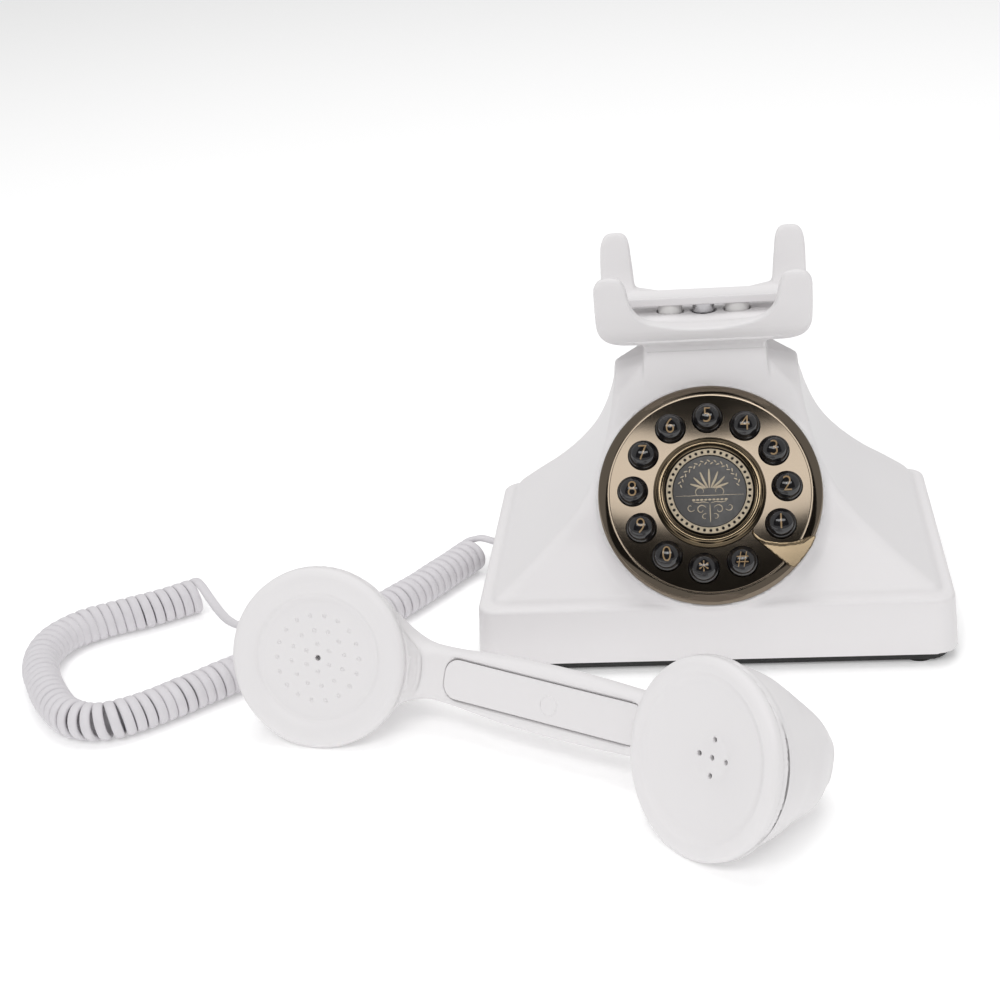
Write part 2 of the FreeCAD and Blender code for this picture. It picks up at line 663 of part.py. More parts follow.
doc.recompute()
for thing in doc.Objects:
    if "Invalid" in thing.State or "Error" in thing.State:
        raise RuntimeError(f"{thing.Name} failed: {thing.State}")
os.makedirs("parts", exist_ok=True)
for piece in pieces:
    piece.Label = piece.Name
    shape = piece.Shape
    if shape.isNull() or not shape.isValid() or shape.Volume < 1:
        raise RuntimeError(f"{piece.Name} has no sound shape")
    shape.exportStep(f"parts/{piece.Label}.step")
    bounds = shape.BoundBox
    print(f"{piece.Label:20s} solids {len(shape.Solids)} volume {shape.Volume:9.0f}"
          f"  x {bounds.XMin:7.1f} {bounds.XMax:7.1f}  y {bounds.YMin:7.1f} {bounds.YMax:7.1f}"
          f"  z {bounds.ZMin:6.2f} {bounds.ZMax:6.1f}")
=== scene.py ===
import bmesh
import bpy
import math
import numpy as np
import openvdb
from functools import reduce
from mathutils import Matrix, Vector


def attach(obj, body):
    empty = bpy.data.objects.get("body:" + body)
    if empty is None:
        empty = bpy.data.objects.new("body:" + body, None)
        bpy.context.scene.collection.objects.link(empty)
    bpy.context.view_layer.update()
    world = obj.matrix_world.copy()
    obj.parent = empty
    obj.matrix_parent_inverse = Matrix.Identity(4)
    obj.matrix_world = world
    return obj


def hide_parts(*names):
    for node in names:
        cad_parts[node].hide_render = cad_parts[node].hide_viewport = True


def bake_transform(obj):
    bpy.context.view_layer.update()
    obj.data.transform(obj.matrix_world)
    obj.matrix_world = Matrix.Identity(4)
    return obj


# A push-button desk telephone with its handset lying on the table.
# Shapes are worked out in millimetres, in the CAD's frame, and become metres in their meshes.

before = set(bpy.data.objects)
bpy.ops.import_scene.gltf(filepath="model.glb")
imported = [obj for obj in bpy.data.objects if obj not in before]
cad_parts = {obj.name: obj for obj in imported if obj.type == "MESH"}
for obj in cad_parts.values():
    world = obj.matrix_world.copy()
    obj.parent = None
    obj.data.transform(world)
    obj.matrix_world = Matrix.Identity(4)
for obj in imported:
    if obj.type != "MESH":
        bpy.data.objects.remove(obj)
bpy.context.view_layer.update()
mm = 0.001

# ---- view ----

viewSettings = {
    "place": (6.02, -690.38, 352.96),
    "down": 23.80,  # degrees below the horizon
    "turn": -7.46,
    "roll": 5.06,
    "lens": 68.02, "sensor": 36,
    "far": 20,  # metres
}


def linked(name, data):  # a new object in the scene
    thing = bpy.data.objects.new(name, data)
    bpy.context.scene.collection.objects.link(thing)
    return thing


def makeCamera(s):
    down, turn, roll = (math.radians(s[k]) for k in ("down", "turn", "roll"))
    ahead = Vector((math.sin(turn) * math.cos(down), math.cos(turn) * math.cos(down), -math.sin(down)))
    side = Vector((math.cos(turn), -math.sin(turn), 0))
    under = ahead.cross(side)
    right = side * math.cos(roll) + under * math.sin(roll)
    low = under * math.cos(roll) - side * math.sin(roll)
    camera = linked("camera", bpy.data.cameras.new("camera"))
    camera.data.lens = s["lens"]
    camera.data.sensor_width = s["sensor"]
    camera.data.clip_end = s["far"]
    facing = Matrix((right, -low, -ahead)).transposed().to_4x4()
    camera.matrix_world = Matrix.Translation(Vector(s["place"]) * mm) @ facing
    bpy.context.scene.camera = camera


makeCamera(viewSettings)
print("camera in place")


# ---- meshes from points ----

def newObject(name, points, faces, place=None, smooth=True):
    mesh = bpy.data.meshes.new(name)
    mesh.from_pydata(np.asarray(points, float).tolist(), [], [list(map(int, f)) for f in faces])
    mesh.polygons.foreach_set("use_smooth", [smooth] * len(mesh.polygons))
    if place is not None:
        mesh.transform(place)
    mesh.transform(Matrix.Scale(mm, 4))
    mesh.update()
    return linked(name, mesh)


def placed(thing, place):  # moves a mesh that is in metres by a place in millimetres
    for step in (Matrix.Scale(1 / mm, 4), place, Matrix.Scale(mm, 4)):
        thing.data.transform(step)


def rotated(axis, degrees):
    return Matrix.Rotation(math.radians(degrees), 4, axis)


def cosineSine(degrees):
    return math.cos(math.radians(degrees)), math.sin(math.radians(degrees))


def evaluatedMesh(thing):  # what its curve or its modifiers give
    bpy.context.view_layer.update()
    return bpy.data.meshes.new_from_object(thing.evaluated_get(bpy.context.evaluated_depsgraph_get()))


def coated(thing, finish):
    thing.data.materials.clear()
    thing.data.materials.append(finish)
    return thing


def finished(thing, body, finish, replaced):  # one call for what every piece needs
    if finish:
        coated(thing, finish)
    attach(thing, body)
    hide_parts(*replaced)


# ---- cord ----

cordSettings = {
    "width": 3.9, "thick": 2.3,  # flat section
    "coil": 15.0,  # outside diameter of the curl
    "turns": 82, "steps": 26,
    "leadSteps": (24, 90), "ringSteps": 12,
    "smoothing": 15,  # points of the axis, an odd number
    "squareness": (0.75, 0.85),  # powers that fill out the section's corners
    "baseLead": [(-89.9, 27, 14), (-95.3, 28.6, 15.4), (-98.9, 29.8, 15.6), (-101.2, 31, 14.05)],
    "curl": [(-101.5, 31), (-112.5, 12), (-127.5, -12.5), (-147, -35.5), (-167.5, -55.5), (-187, -72.5),
             (-204, -89), (-218, -100.5), (-229.5, -104), (-240.5, -99.5), (-249.5, -88.5), (-258, -74),
             (-266, -56), (-265.5, -40), (-258.5, -28), (-245.5, -19.5), (-230, -12), (-214.6, -0.5)],
    "curlHeight": 7.7,
    "handsetLead": [(-214.8, -0.2, 14.05), (-211.5, -4.5, 13.9), (-206.3, -12.5, 11.6), (-198, -27.5, 12.2),
                    (-190.8, -41.5, 15.8), (-182.5, -55, 20.6), (-170.6, -66.4, 24.4), (-164.5, -68.7, 24.85)],
    "stretchFrom": 14.6, "stretchTo": 21.4,
}


def routePoints(name, points):  # the points of a smooth line through a route
    curve = bpy.data.curves.new(name, "CURVE")
    curve.dimensions = "3D"
    curve.resolution_u = 24
    line = curve.splines.new("NURBS")
    line.points.add(len(points) - 1)
    for spot, point in zip(line.points, points):
        spot.co = (*[c * mm for c in point], 1)
    line.order_u = 3
    line.use_endpoint_u = True
    holder = linked(name, curve)
    mesh = evaluatedMesh(holder)
    found = np.array([v.co for v in mesh.vertices])
    bpy.data.objects.remove(holder)
    bpy.data.meshes.remove(mesh)
    return found / mm


def along(points):
    return np.concatenate([[0], np.cumsum(np.linalg.norm(np.diff(points, axis=0), axis=1))])


def spaced(points, count):
    s = along(points)
    want = np.linspace(0, s[-1], count)
    return np.stack([np.interp(want, s, points[:, k]) for k in range(3)], 1)


def unit(v):
    return v / np.maximum(np.linalg.norm(v, axis=-1, keepdims=True), 1e-9)


def swollen(value, power):  # a power that keeps the sign
    return math.copysign(abs(value) ** power, value)


def curledCord(s):
    up = np.array([0, 0, 1.0])
    axis = routePoints("curl_axis", [(x, y, s["curlHeight"]) for x, y in s["curl"]])
    count = s["turns"] * s["steps"] + 1
    axis = spaced(axis, count)
    heading = unit(np.gradient(axis, axis=0))
    kernel = np.ones(s["smoothing"]) / s["smoothing"]
    wings = s["smoothing"] // 2
    heading = unit(np.stack([np.convolve(np.pad(heading[:, k], wings, "edge"), kernel, "valid")
                             for k in range(3)], 1))
    across = unit(np.cross(heading, up))
    share = np.linspace(0, 1, count)
    wobble = 0.05 * np.sin(share * 61 + 0.6) + 0.04 * np.sin(share * 143)  # no two turns are quite alike
    turned = 2 * math.pi * s["turns"] * share + wobble * np.sin(math.pi * share) * 6
    out = across * np.sin(turned)[:, None] + up * np.cos(turned)[:, None]
    reach = (s["coil"] - s["thick"]) / 2 * (1 + 0.012 * np.sin(share * 97))
    curl = axis + out * np.minimum(reach, s["curlHeight"] - s["thick"] / 2 - 0.02)[:, None]
    first = spaced(routePoints("base_lead", s["baseLead"]), s["leadSteps"][0])
    last = spaced(routePoints("handset_lead", s["handsetLead"]), s["leadSteps"][1])
    line = np.concatenate([first[:-1], curl, last[1:]])
    facing = np.concatenate([np.tile(up, (len(first) - 1, 1)), out, np.tile(up, (len(last) - 1, 1))])
    for _ in range(3):  # ease the joins between curl and leads
        line[1:-1] = line[1:-1] * 0.5 + (line[:-2] + line[2:]) * 0.25
    tangent = unit(np.gradient(line, axis=0))
    facing = unit(facing - (facing * tangent).sum(1, keepdims=True) * tangent)
    side = np.cross(tangent, facing)
    broad, deep = s["squareness"]
    ring = [(swollen(math.cos(a), broad) * s["width"] / 2, swollen(math.sin(a), deep) * s["thick"] / 2)
            for a in np.linspace(0, 2 * math.pi, s["ringSteps"], endpoint=False) + 0.01]
    points = np.concatenate([line[:, None] + side[:, None] * u + facing[:, None] * v
                             for u, v in ring], 1).reshape(-1, 3)
    n, rows = len(ring), len(line)
    faces = [(r * n + k, r * n + (k + 1) % n, (r + 1) * n + (k + 1) % n, (r + 1) * n + k)
             for r in range(rows - 1) for k in range(n)]
    faces += [tuple(range(n))[::-1], tuple((rows - 1) * n + k for k in range(n))]
    return outwards(newObject("cord", points, faces)), line


def outwards(thing):  # turn a closed mesh the right way round
    mesh = thing.data
    mesh.calc_loop_triangles()
    co = np.array([v.co for v in mesh.vertices])
    tri = np.array([t.vertices[:] for t in mesh.loop_triangles])
    a, b, c = co[tri[:, 0]], co[tri[:, 1]], co[tri[:, 2]]
    if np.einsum("ij,ij->i", a, np.cross(b, c)).sum() < 0:
        mesh.flip_normals()
    return thing


cord, cordLine = curledCord(cordSettings)
print("cord", len(cord.data.polygons), "faces,", round(along(cordLine)[-1]), "mm of cord")


# ---- finishes ----

class Signal:  # one output of a shader node, with arithmetic
    def __init__(self, finish, socket):
        self.finish = finish
        self.socket = socket

    def maths(self, operation, *others):
        return self.finish.add("ShaderNodeMath", {"operation": operation},
                               {k: v for k, v in enumerate((self, *others))})

    def __add__(self, other):
        return self.maths("ADD", other)

    def __mul__(self, other):
        return self.maths("MULTIPLY", other)

    __radd__ = __add__


class Finish:  # a material, its shader's fixed numbers, and one way to add any other node
    def __init__(self, name, **fixed):
        self.material = bpy.data.materials.new(name)
        self.material.use_nodes = True
        self.tree = self.material.node_tree
        self.shader = self.tree.nodes["Principled BSDF"]
        for socket, value in fixed.items():
            self.shader.inputs[socket.replace("_", " ")].default_value = value

    def add(self, kind, settings=None, sockets=None, out=0):
        node = self.tree.nodes.new(kind)
        for name, value in (settings or {}).items():
            setattr(node, name, value)
        for name, value in (sockets or {}).items():
            self.feed(node.inputs[name], value)
        return Signal(self, node.outputs[out])

    def feed(self, socket, value):
        if isinstance(value, Signal):
            self.tree.links.new(value.socket, socket)
        else:
            socket.default_value = value

    def set(self, **sockets):
        for name, value in sockets.items():
            self.feed(self.shader.inputs[name.replace("_", " ")], value)

    def place(self, scale=(1, 1, 1)):
        spot = self.add("ShaderNodeTexCoord", out="Object")
        return self.add("ShaderNodeMapping", None, {"Vector": spot, "Scale": scale})

    def noise(self, spot, scale, detail, roughness=0.5):
        return self.add("ShaderNodeTexNoise", None, {"Vector": spot, "Scale": scale, "Detail": detail,
                                                     "Roughness": roughness})

    def blend(self, share, first, second):
        return self.add("ShaderNodeMix", {"data_type": "RGBA"}, {0: share, 6: first, 7: second}, 2)

    def bump(self, height, strength, distance):
        return self.add("ShaderNodeBump", None, {"Strength": strength, "Distance": distance, "Height": height})


def mouldedWhite(name, colour, grain, gloss):  # satin ABS with fine tool grain and slight flow marks
    f = Finish(name, IOR=1.5, Coat_Weight=0.08, Coat_Roughness=0.25, Specular_IOR_Level=0.45)
    spot = f.place()
    flow = f.noise(spot, 26, 2)
    fine = f.noise(spot, 2600, 2)
    wave = f.noise(spot, 420, 3)
    dark = tuple(c * 0.975 for c in colour[:3]) + (1,)
    f.set(Base_Color=f.blend(flow, dark, colour), Roughness=gloss + flow * 0.07 + fine * 0.06,
          Normal=f.bump(fine * 0.6 + wave * 0.4, grain, 0.00006))
    return f.material


whiteBody = mouldedWhite("body_white", (0.780, 0.762, 0.768, 1), 0.28, 0.36)
whiteCradle = mouldedWhite("cradle_white", (0.775, 0.757, 0.763, 1), 0.34, 0.40)
whiteCap = mouldedWhite("cap_white", (0.780, 0.763, 0.769, 1), 0.20, 0.33)


def softCord():  # matte PVC with faint drawn lines
    f = Finish("cord_pvc", IOR=1.48, Sheen_Weight=0.05, Specular_IOR_Level=0.35)
    spot = f.place()
    wave = f.noise(spot, 300, 3)
    fine = f.noise(spot, 3200, 2)
    f.set(Base_Color=f.blend(wave, (0.640, 0.622, 0.645, 1), (0.710, 0.690, 0.712, 1)),
          Roughness=0.46 + fine * 0.12, Normal=f.bump(fine * 0.5 + wave * 0.5, 0.25, 0.00008))
    return f.material


def darkNickel(name, light, dark, rough):  # plated metal, brushed from side to side
    f = Finish(name, Metallic=1.0, Anisotropic=0.35)
    brushed = f.noise(f.place(scale=(18, 900, 900)), 3.0, 4, 0.65)
    cloud = f.noise(f.place(), 60, 3)
    f.set(Base_Color=f.blend(brushed * 0.6 + cloud * 0.4, dark, light),
          Roughness=rough + brushed * 0.05 + cloud * 0.03, Normal=f.bump(brushed, 0.03, 0.000006))
    return f.material


plateMetal = darkNickel("plate_nickel", (0.215, 0.178, 0.138, 1), (0.170, 0.138, 0.104, 1), 0.045)
ringMetal = darkNickel("ring_bronze", (0.300, 0.235, 0.155, 1), (0.210, 0.160, 0.100, 1), 0.10)


def glossBlack():
    f = Finish("key_gloss", IOR=1.52, Coat_Weight=0.6, Coat_Roughness=0.03)
    fine = f.noise(f.place(), 900, 2)
    f.set(Base_Color=f.blend(fine, (0.006, 0.006, 0.007, 1), (0.012, 0.011, 0.012, 1)),
          Roughness=0.06 + fine * 0.05, Normal=f.bump(fine, 0.05, 0.00003))
    return f.material


def flatInk(name, light, dark):  # printed or plated bronze lines
    f = Finish(name, Metallic=0.85)
    cloud = f.noise(f.place(), 700, 2)
    f.set(Base_Color=f.blend(cloud, dark, light), Roughness=0.30 + cloud * 0.15, Normal=f.bump(cloud, 0.1, 0.00003))
    return f.material


def plainFinish(name, dark, light, rough, grain, strength, **fixed):
    f = Finish(name, **fixed)
    spot = f.place()
    fine = f.noise(spot, grain, 3)
    broad = f.noise(spot, grain / 16, 3)
    f.set(Base_Color=f.blend(broad, (*dark, 1), (*light, 1)), Roughness=rough + fine * 0.12,
          Normal=f.bump(fine, strength, 0.00008))
    return f.material


keyGloss = glossBlack()
digitInk = plainFinish("digit_bronze", (0.240, 0.160, 0.082), (0.320, 0.220, 0.120), 0.14, 700, 0.05,
                       Coat_Weight=0.6, Coat_Roughness=0.03)
ornamentMetal = flatInk("ornament_bronze", (0.66, 0.57, 0.43, 1), (0.42, 0.35, 0.26, 1))
blackCase = plainFinish("black_case", (0.012, 0.012, 0.012), (0.024, 0.024, 0.024), 0.48, 1500, 0.45)
lacquer = plainFinish("dark_lacquer", (0.008, 0.007, 0.006), (0.016, 0.013, 0.011), 0.05, 700, 0.06,
                      Specular_IOR_Level=0.25)
footRubber = plainFinish("foot_rubber", (0.010, 0.010, 0.010), (0.022, 0.022, 0.022), 0.70, 1800, 0.5)
matRubber = plainFinish("mat_silicone", (0.20, 0.20, 0.21), (0.28, 0.28, 0.29), 0.62, 1200, 0.3)
whiteAcetal = plainFinish("white_acetal", (0.72, 0.71, 0.70), (0.78, 0.77, 0.76), 0.30, 1200, 0.15)
brightSteel = plainFinish("bright_steel", (0.62, 0.62, 0.64), (0.74, 0.74, 0.75), 0.10, 600, 0.05, Metallic=1.0)
plainSteel = plainFinish("plain_steel", (0.40, 0.40, 0.41), (0.56, 0.56, 0.57), 0.32, 700, 0.15, Metallic=1.0)
canMetal = plainFinish("can_metal", (0.55, 0.55, 0.56), (0.66, 0.66, 0.67), 0.28, 800, 0.15, Metallic=1.0)
boardGreen = plainFinish("board_green", (0.015, 0.09, 0.035), (0.03, 0.14, 0.06), 0.40, 900, 0.25)
clearPlug = plainFinish("plug_clear", (0.70, 0.72, 0.71), (0.80, 0.81, 0.80), 0.12, 600, 0.05, Alpha=0.62)
print("finishes made")

coated(cord, softCord())
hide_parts("cord_coil", "cord_lead_base", "cord_lead_handset")
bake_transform(cord)
[c * mm for c in cordLine[0]]
cordLine * mm


# ---- shapes as distances ----

def roundedMax(a, b, r):  # where two shapes overlap, with the edge between them rounded
    u, v = np.maximum(a + r, 0), np.maximum(b + r, 0)
    return np.minimum(np.maximum(a, b), -r) + np.sqrt(u * u + v * v)


def roundedMin(a, b, r):  # two shapes joined with a fillet
    return -roundedMax(-a, -b, r)


def slab(x, y, halfX, halfY, corner):  # a rounded rectangle in plan
    u, v = np.abs(x) - halfX + corner, np.abs(y) - halfY + corner
    return np.sqrt(np.maximum(u, 0) ** 2 + np.maximum(v, 0) ** 2) + np.minimum(np.maximum(u, v), 0) - corner


def overlap(*shapes):  # what is inside all of them
    return reduce(np.maximum, shapes)


def block(*sides):  # a box, or an endless bar, from offsets and half widths
    return overlap(*(np.abs(offset) - half for offset, half in sides))


def drilled(solid, x, y, radius):
    return np.maximum(solid, radius - np.sqrt(x ** 2 + y ** 2))


def planeDistance(at, plane):
    normal, through = plane
    return sum(n * (a - t) for n, a, t in zip(normal, at, through) if n)


def outlineDistance(u, v, points):  # to a closed outline in a plane, less than 0 inside
    best = np.full(np.broadcast(u, v).shape, 1e9)
    inside = np.zeros(best.shape, bool)
    for (ax, ay), (bx, by) in zip(points, np.roll(points, -1, 0)):
        ex, ey = bx - ax, by - ay
        wx, wy = u - ax, v - ay
        t = np.clip((wx * ex + wy * ey) / (ex * ex + ey * ey), 0, 1)
        best = np.minimum(best, (wx - ex * t) ** 2 + (wy - ey * t) ** 2)
        crosses = (ay > v) != (by > v)
        inside ^= crosses & (u < ex * (v - ay) / (ey if ey else 1e-9) + ax)
    return np.where(inside, -1, 1) * np.sqrt(best)


def smoothLoop(points, steps=5):  # a closed curve through its points
    p = np.array(points, float)
    a, b, c, d = (np.roll(p, k, 0) for k in (1, 0, -1, -2))
    found = []
    for t in np.linspace(0, 1, steps, endpoint=False):
        found.append(0.5 * (2 * b + (c - a) * t + (2 * a - 5 * b + 4 * c - d) * t * t
                            + (3 * b - a - 3 * c + d) * t ** 3))
    return np.stack(found, 1).reshape(-1, 2)


def smoothTable(knots, step=0.5):  # a curve through knots, tabled for np.interp
    k = np.array(knots, float)
    slope = np.gradient(k[:, 1], k[:, 0])
    x = np.arange(k[0, 0], k[-1, 0] + step / 2, step)
    j = np.clip(np.searchsorted(k[:, 0], x, "right") - 1, 0, len(k) - 2)
    h = k[j + 1, 0] - k[j, 0]
    t = (x - k[j, 0]) / h
    y = ((2 * t ** 3 - 3 * t ** 2 + 1) * k[j, 1] + (t ** 3 - 2 * t ** 2 + t) * h * slope[j]
         + (3 * t ** 2 - 2 * t ** 3) * k[j + 1, 1] + (t ** 3 - t ** 2) * h * slope[j + 1])
    return x, y


def reading(table, x):
    return np.interp(x, *table), np.interp(x, table[0], np.gradient(table[1], table[0]))


meshSettings = {
    "band": 3.0,  # steps kept either side of the surface
    "away": 0.02,  # for slopes
    "passes": 4, "stride": 0.35, "least": 0.2,  # moves on to the surface
}


def meshFrom(name, shape, low, high, step, place=None):  # the surface where a distance is 0
    low = np.array(low, float)
    counts = np.ceil((np.array(high, float) - low) / step).astype(int) + 1
    x, y, z = np.meshgrid(*(low[k] + step * np.arange(counts[k]) for k in range(3)), indexing="ij", sparse=True)
    field = np.broadcast_to(shape(x, y, z), tuple(counts)) / step
    band, away, stride = (meshSettings[k] for k in ("band", "away", "stride"))
    grid = openvdb.FloatGrid(band)
    grid.copyFromArray(np.ascontiguousarray(np.clip(field, -band, band), np.float32))
    points, quads = grid.convertToQuads(0.0)
    points = points.astype(float) * step + low

    def facing(p):
        here = shape(*p.T)
        lean = np.stack([shape(*(p + away * np.eye(3)[k]).T) - here for k in range(3)], 1) / away
        return here, lean

    for _ in range(meshSettings["passes"]):
        here, lean = facing(points)
        move = here[:, None] * lean / np.maximum((lean * lean).sum(1, keepdims=True), meshSettings["least"])
        length = np.linalg.norm(move, axis=1, keepdims=True)
        points = points - move * np.minimum(1, stride * step / np.maximum(length, 1e-9))
    thing = outwards(newObject(name, points, quads, place))
    lean = unit(facing(points)[1])
    if place is not None:
        lean = lean @ np.array(place.to_3x3()).T
    thing.data.normals_split_custom_set_from_vertices(lean.tolist())
    print(name, len(quads), "faces")
    return thing


def turnedPiece(name, profile, place=None, steps=96):  # a profile of radius and height spun round Z
    points, faces, rings = [], [], []
    for r, h in profile:
        if r < 1e-6:
            rings.append([len(points)])
            points.append((0, 0, h))
        else:
            rings.append(list(range(len(points), len(points) + steps)))
            points += [(r * math.cos(2 * math.pi * k / steps), r * math.sin(2 * math.pi * k / steps), h)
                       for k in range(steps)]
    pairs = list(zip(rings, rings[1:]))
    if len(rings[0]) > 1 or len(rings[-1]) > 1:
        pairs.append((rings[-1], rings[0]))
    for a, b in pairs:
        for k in range(steps):
            n = (k + 1) % steps
            if len(a) == 1:
                faces.append((a[0], b[n], b[k]))
            elif len(b) == 1:
                faces.append((a[k], a[n], b[0]))
            else:
                faces.append((a[k], a[n], b[n], b[k]))
    return outwards(newObject(name, points, faces, place))


def edged(thing, angle):  # crisp edges where it turns by more than an angle
    thing.data.set_sharp_from_angle(angle=math.radians(angle))
    return thing


def bake(thing):  # modifiers into the mesh
    mesh, old = evaluatedMesh(thing), thing.data
    thing.modifiers.clear()
    thing.data = mesh
    bpy.data.meshes.remove(old)
    return thing


# ---- housing ----

dialSettings = {
    "y": -43, "z": 65, "tilt": 54.3, "thick": 4.2,
    "boss": 42.6, "bossDraft": 0.085, "bossDepth": 32,
    "bore": 40.4, "boreDepth": 38,
    "fillet": (2.6, -0.07, 0.4, 5.5),  # at the middle, its change up the slope, least and most
}
dialPlace = Matrix.Translation((0, dialSettings["y"], dialSettings["z"])) @ rotated("X", dialSettings["tilt"])


def inDial(y, z):  # up the dial's slope, and out of its face
    c, s = cosineSine(dialSettings["tilt"])
    v, w = y - dialSettings["y"], z - dialSettings["z"]
    return v * c + w * s, w * c - v * s


housingSettings = {
    "halfWidth": 90.3, "halfDepth": 63, "draft": 1.4, "corner": 9, "low": 5, "bandTop": 27, "bandRound": 1.5,
    "plinthHalf": 84.8, "plinthFront": -58.6, "plinthBack": 60.8, "plinthCorner": 8.0, "plinthRound": 2.4,
    "side": [(20, 98), (27, 85.5), (30, 81), (36.9, 71.6), (43.8, 63.3), (50.7, 55.9), (57.6, 49.8), (64.4, 45.2),
             (71.3, 41.8), (78.2, 39.4), (85.1, 37.6), (92, 36.1), (101, 35.2), (120, 34.6)],
    "front": [(20, -65.5), (27, -59.6), (33, -53.6), (38, -49.2), (45, -43.6), (55, -37.8), (70, -29.2), (85, -20.5),
              (98, -13), (120, -0.3)],
    "back": [(20, 64), (27, 61), (37, 57.5), (44, 52.5), (51, 49), (58, 46), (64, 43.5), (71, 41.5), (78, 39.2),
             (85, 36.8), (92, 34.8), (101, 33), (120, 32)],
    "ridge": 3.5, "rearRidge": 3.0, "bottom": 20,
    "roof": [((0.400, 0, 0.916), (34.9, 0, 102.2)), ((0.529, -0.378, 0.760), (36, -17, 92)),
             ((0.529, 0.378, 0.760), (34.6, 4, 102.4))],  # planes, each a normal and a point
    "backRoof": ((0, 0.80, 0.60), (0, 17, 104)), "roofRound": 2.0, "topRound": 1.0, "waist": 1.6,
    "neckTop": 110.5, "neckBack": 16.8, "neckLow": 90, "neckRound": 1.3, "neckJoin": 0.7,
    "wall": 2.5,
    "cordGap": (27, 14, 4.6, 4.2, 84), "lineGap": (40, 14, 5.6, 4.2, 57),  # middle, half sizes, start
}
hookPosts = {"y": 2.3, "rows": [(-12.7, 4.65), (0, 4.25), (12.7, 4.65)], "gap": 0.35, "low": 100}
sideTable, frontTable, backTable = (smoothTable(housingSettings[k]) for k in ("side", "front", "back"))


def housingOutside(x, y, z):
    s = housingSettings
    ax = np.abs(x)
    lift = (z - s["low"]) / (s["bandTop"] - s["low"]) * s["draft"]
    band = roundedMax(slab(x, y, s["halfWidth"], s["halfDepth"], s["corner"]) + lift, z - s["bandTop"], s["bandRound"])
    wide, wideSlope = reading(sideTable, z)
    near, nearSlope = reading(frontTable, z)
    far, farSlope = reading(backTable, z)
    side = (ax - wide) / np.sqrt(1 + wideSlope ** 2)
    front = (near - y) / np.sqrt(1 + nearSlope ** 2)
    back = (y - far) / np.sqrt(1 + farSlope ** 2)
    tower = roundedMax(roundedMax(side, front, s["ridge"]), back, s["rearRidge"])
    at = (ax, y, z)
    roof = overlap(*(planeDistance(at, plane) for plane in s["roof"]))
    roof = roundedMax(roof, planeDistance(at, s["backRoof"]), s["roofRound"])
    tower = np.maximum(roundedMax(tower, roof, s["topRound"]), z - s["neckTop"])
    middle = (s["plinthFront"] + s["plinthBack"]) / 2
    plinth = slab(x, y - middle, s["plinthHalf"], (s["plinthBack"] - s["plinthFront"]) / 2, s["plinthCorner"])
    tower = roundedMax(tower, plinth, s["plinthRound"])
    v, w = inDial(y, z)
    r = np.sqrt(x * x + v * v)
    d = dialSettings
    cap = w + d["thick"]
    boss = overlap(r - d["boss"] + cap * d["bossDraft"], cap, -d["bossDepth"] - w)
    fillet, change, least, most = d["fillet"]
    tower = roundedMin(tower, boss, np.clip(fillet + v * change, least, most))
    tower = np.maximum(tower, s["bottom"] - z)
    neckFront = -13.2 + (z - 98.5) * 0.15
    neckHalf = 23.9 - (z - 100.5) * 0.11
    neck = roundedMax(ax - neckHalf, neckFront - y, s["neckRound"])
    neck = overlap(neck, y - s["neckBack"], z - s["neckTop"], s["neckLow"] - z)
    tower = roundedMin(tower, neck, s["neckJoin"])
    return roundedMin(band, tower, s["waist"])


def housing(x, y, z):
    s = housingSettings
    outer = housingOutside(x, y, z)
    v, w = inDial(y, z)
    bore = np.maximum(np.sqrt(x * x + v * v) - dialSettings["bore"], -dialSettings["boreDepth"] - w)
    middle, height, half, tall, start = s["cordGap"]
    cordSide = np.maximum(block((y - middle, half), (z - height, tall)), x + start)
    middle, height, half, tall, start = s["lineGap"]
    lineSide = np.maximum(block((x + middle, half), (z - height, tall)), start - y)
    hollow = np.minimum(np.minimum(outer + s["wall"], bore), np.minimum(cordSide, lineSide))
    for spot, radius in hookPosts["rows"]:
        post = np.sqrt((x - spot) ** 2 + (y - hookPosts["y"]) ** 2) - radius - hookPosts["gap"]
        hollow = np.minimum(hollow, np.maximum(post, hookPosts["low"] - z))
    return overlap(outer, -hollow, s["low"] - z)


finished(meshFrom("housing", housing, (-93, -66, 2), (93, 66, 113), 1.04), "base", whiteBody,
         ["body_shell"])


# ---- cradle and hook ----

# low: the rim's lower edge sits close to the table, so its black stands in for the shade under the band (painted shade)
panSettings = {"half": 87.0, "deep": 59.6, "corner": 8, "rim": 5, "top": 6.0, "floor": 3.2, "low": 0.9}


def panShape(x, y, z):  # the black bottom plate; its rim, turned down almost to the table, also fills the shaded gap under the band with black as painted shade
    s = panSettings
    outer = roundedMax(slab(x, y, s["half"], s["deep"], s["corner"]), np.maximum(z - s["top"], s["low"] - z), 0.4)
    inner = np.maximum(slab(x, y, s["half"] - s["rim"], s["deep"] - s["rim"], s["corner"]), z - s["floor"])
    return np.maximum(outer, -inner)


finished(meshFrom("base_pan", panShape, (-89, -62, -1), (89, 62, 8), 1.0), "base", blackCase, ["base_plate"])

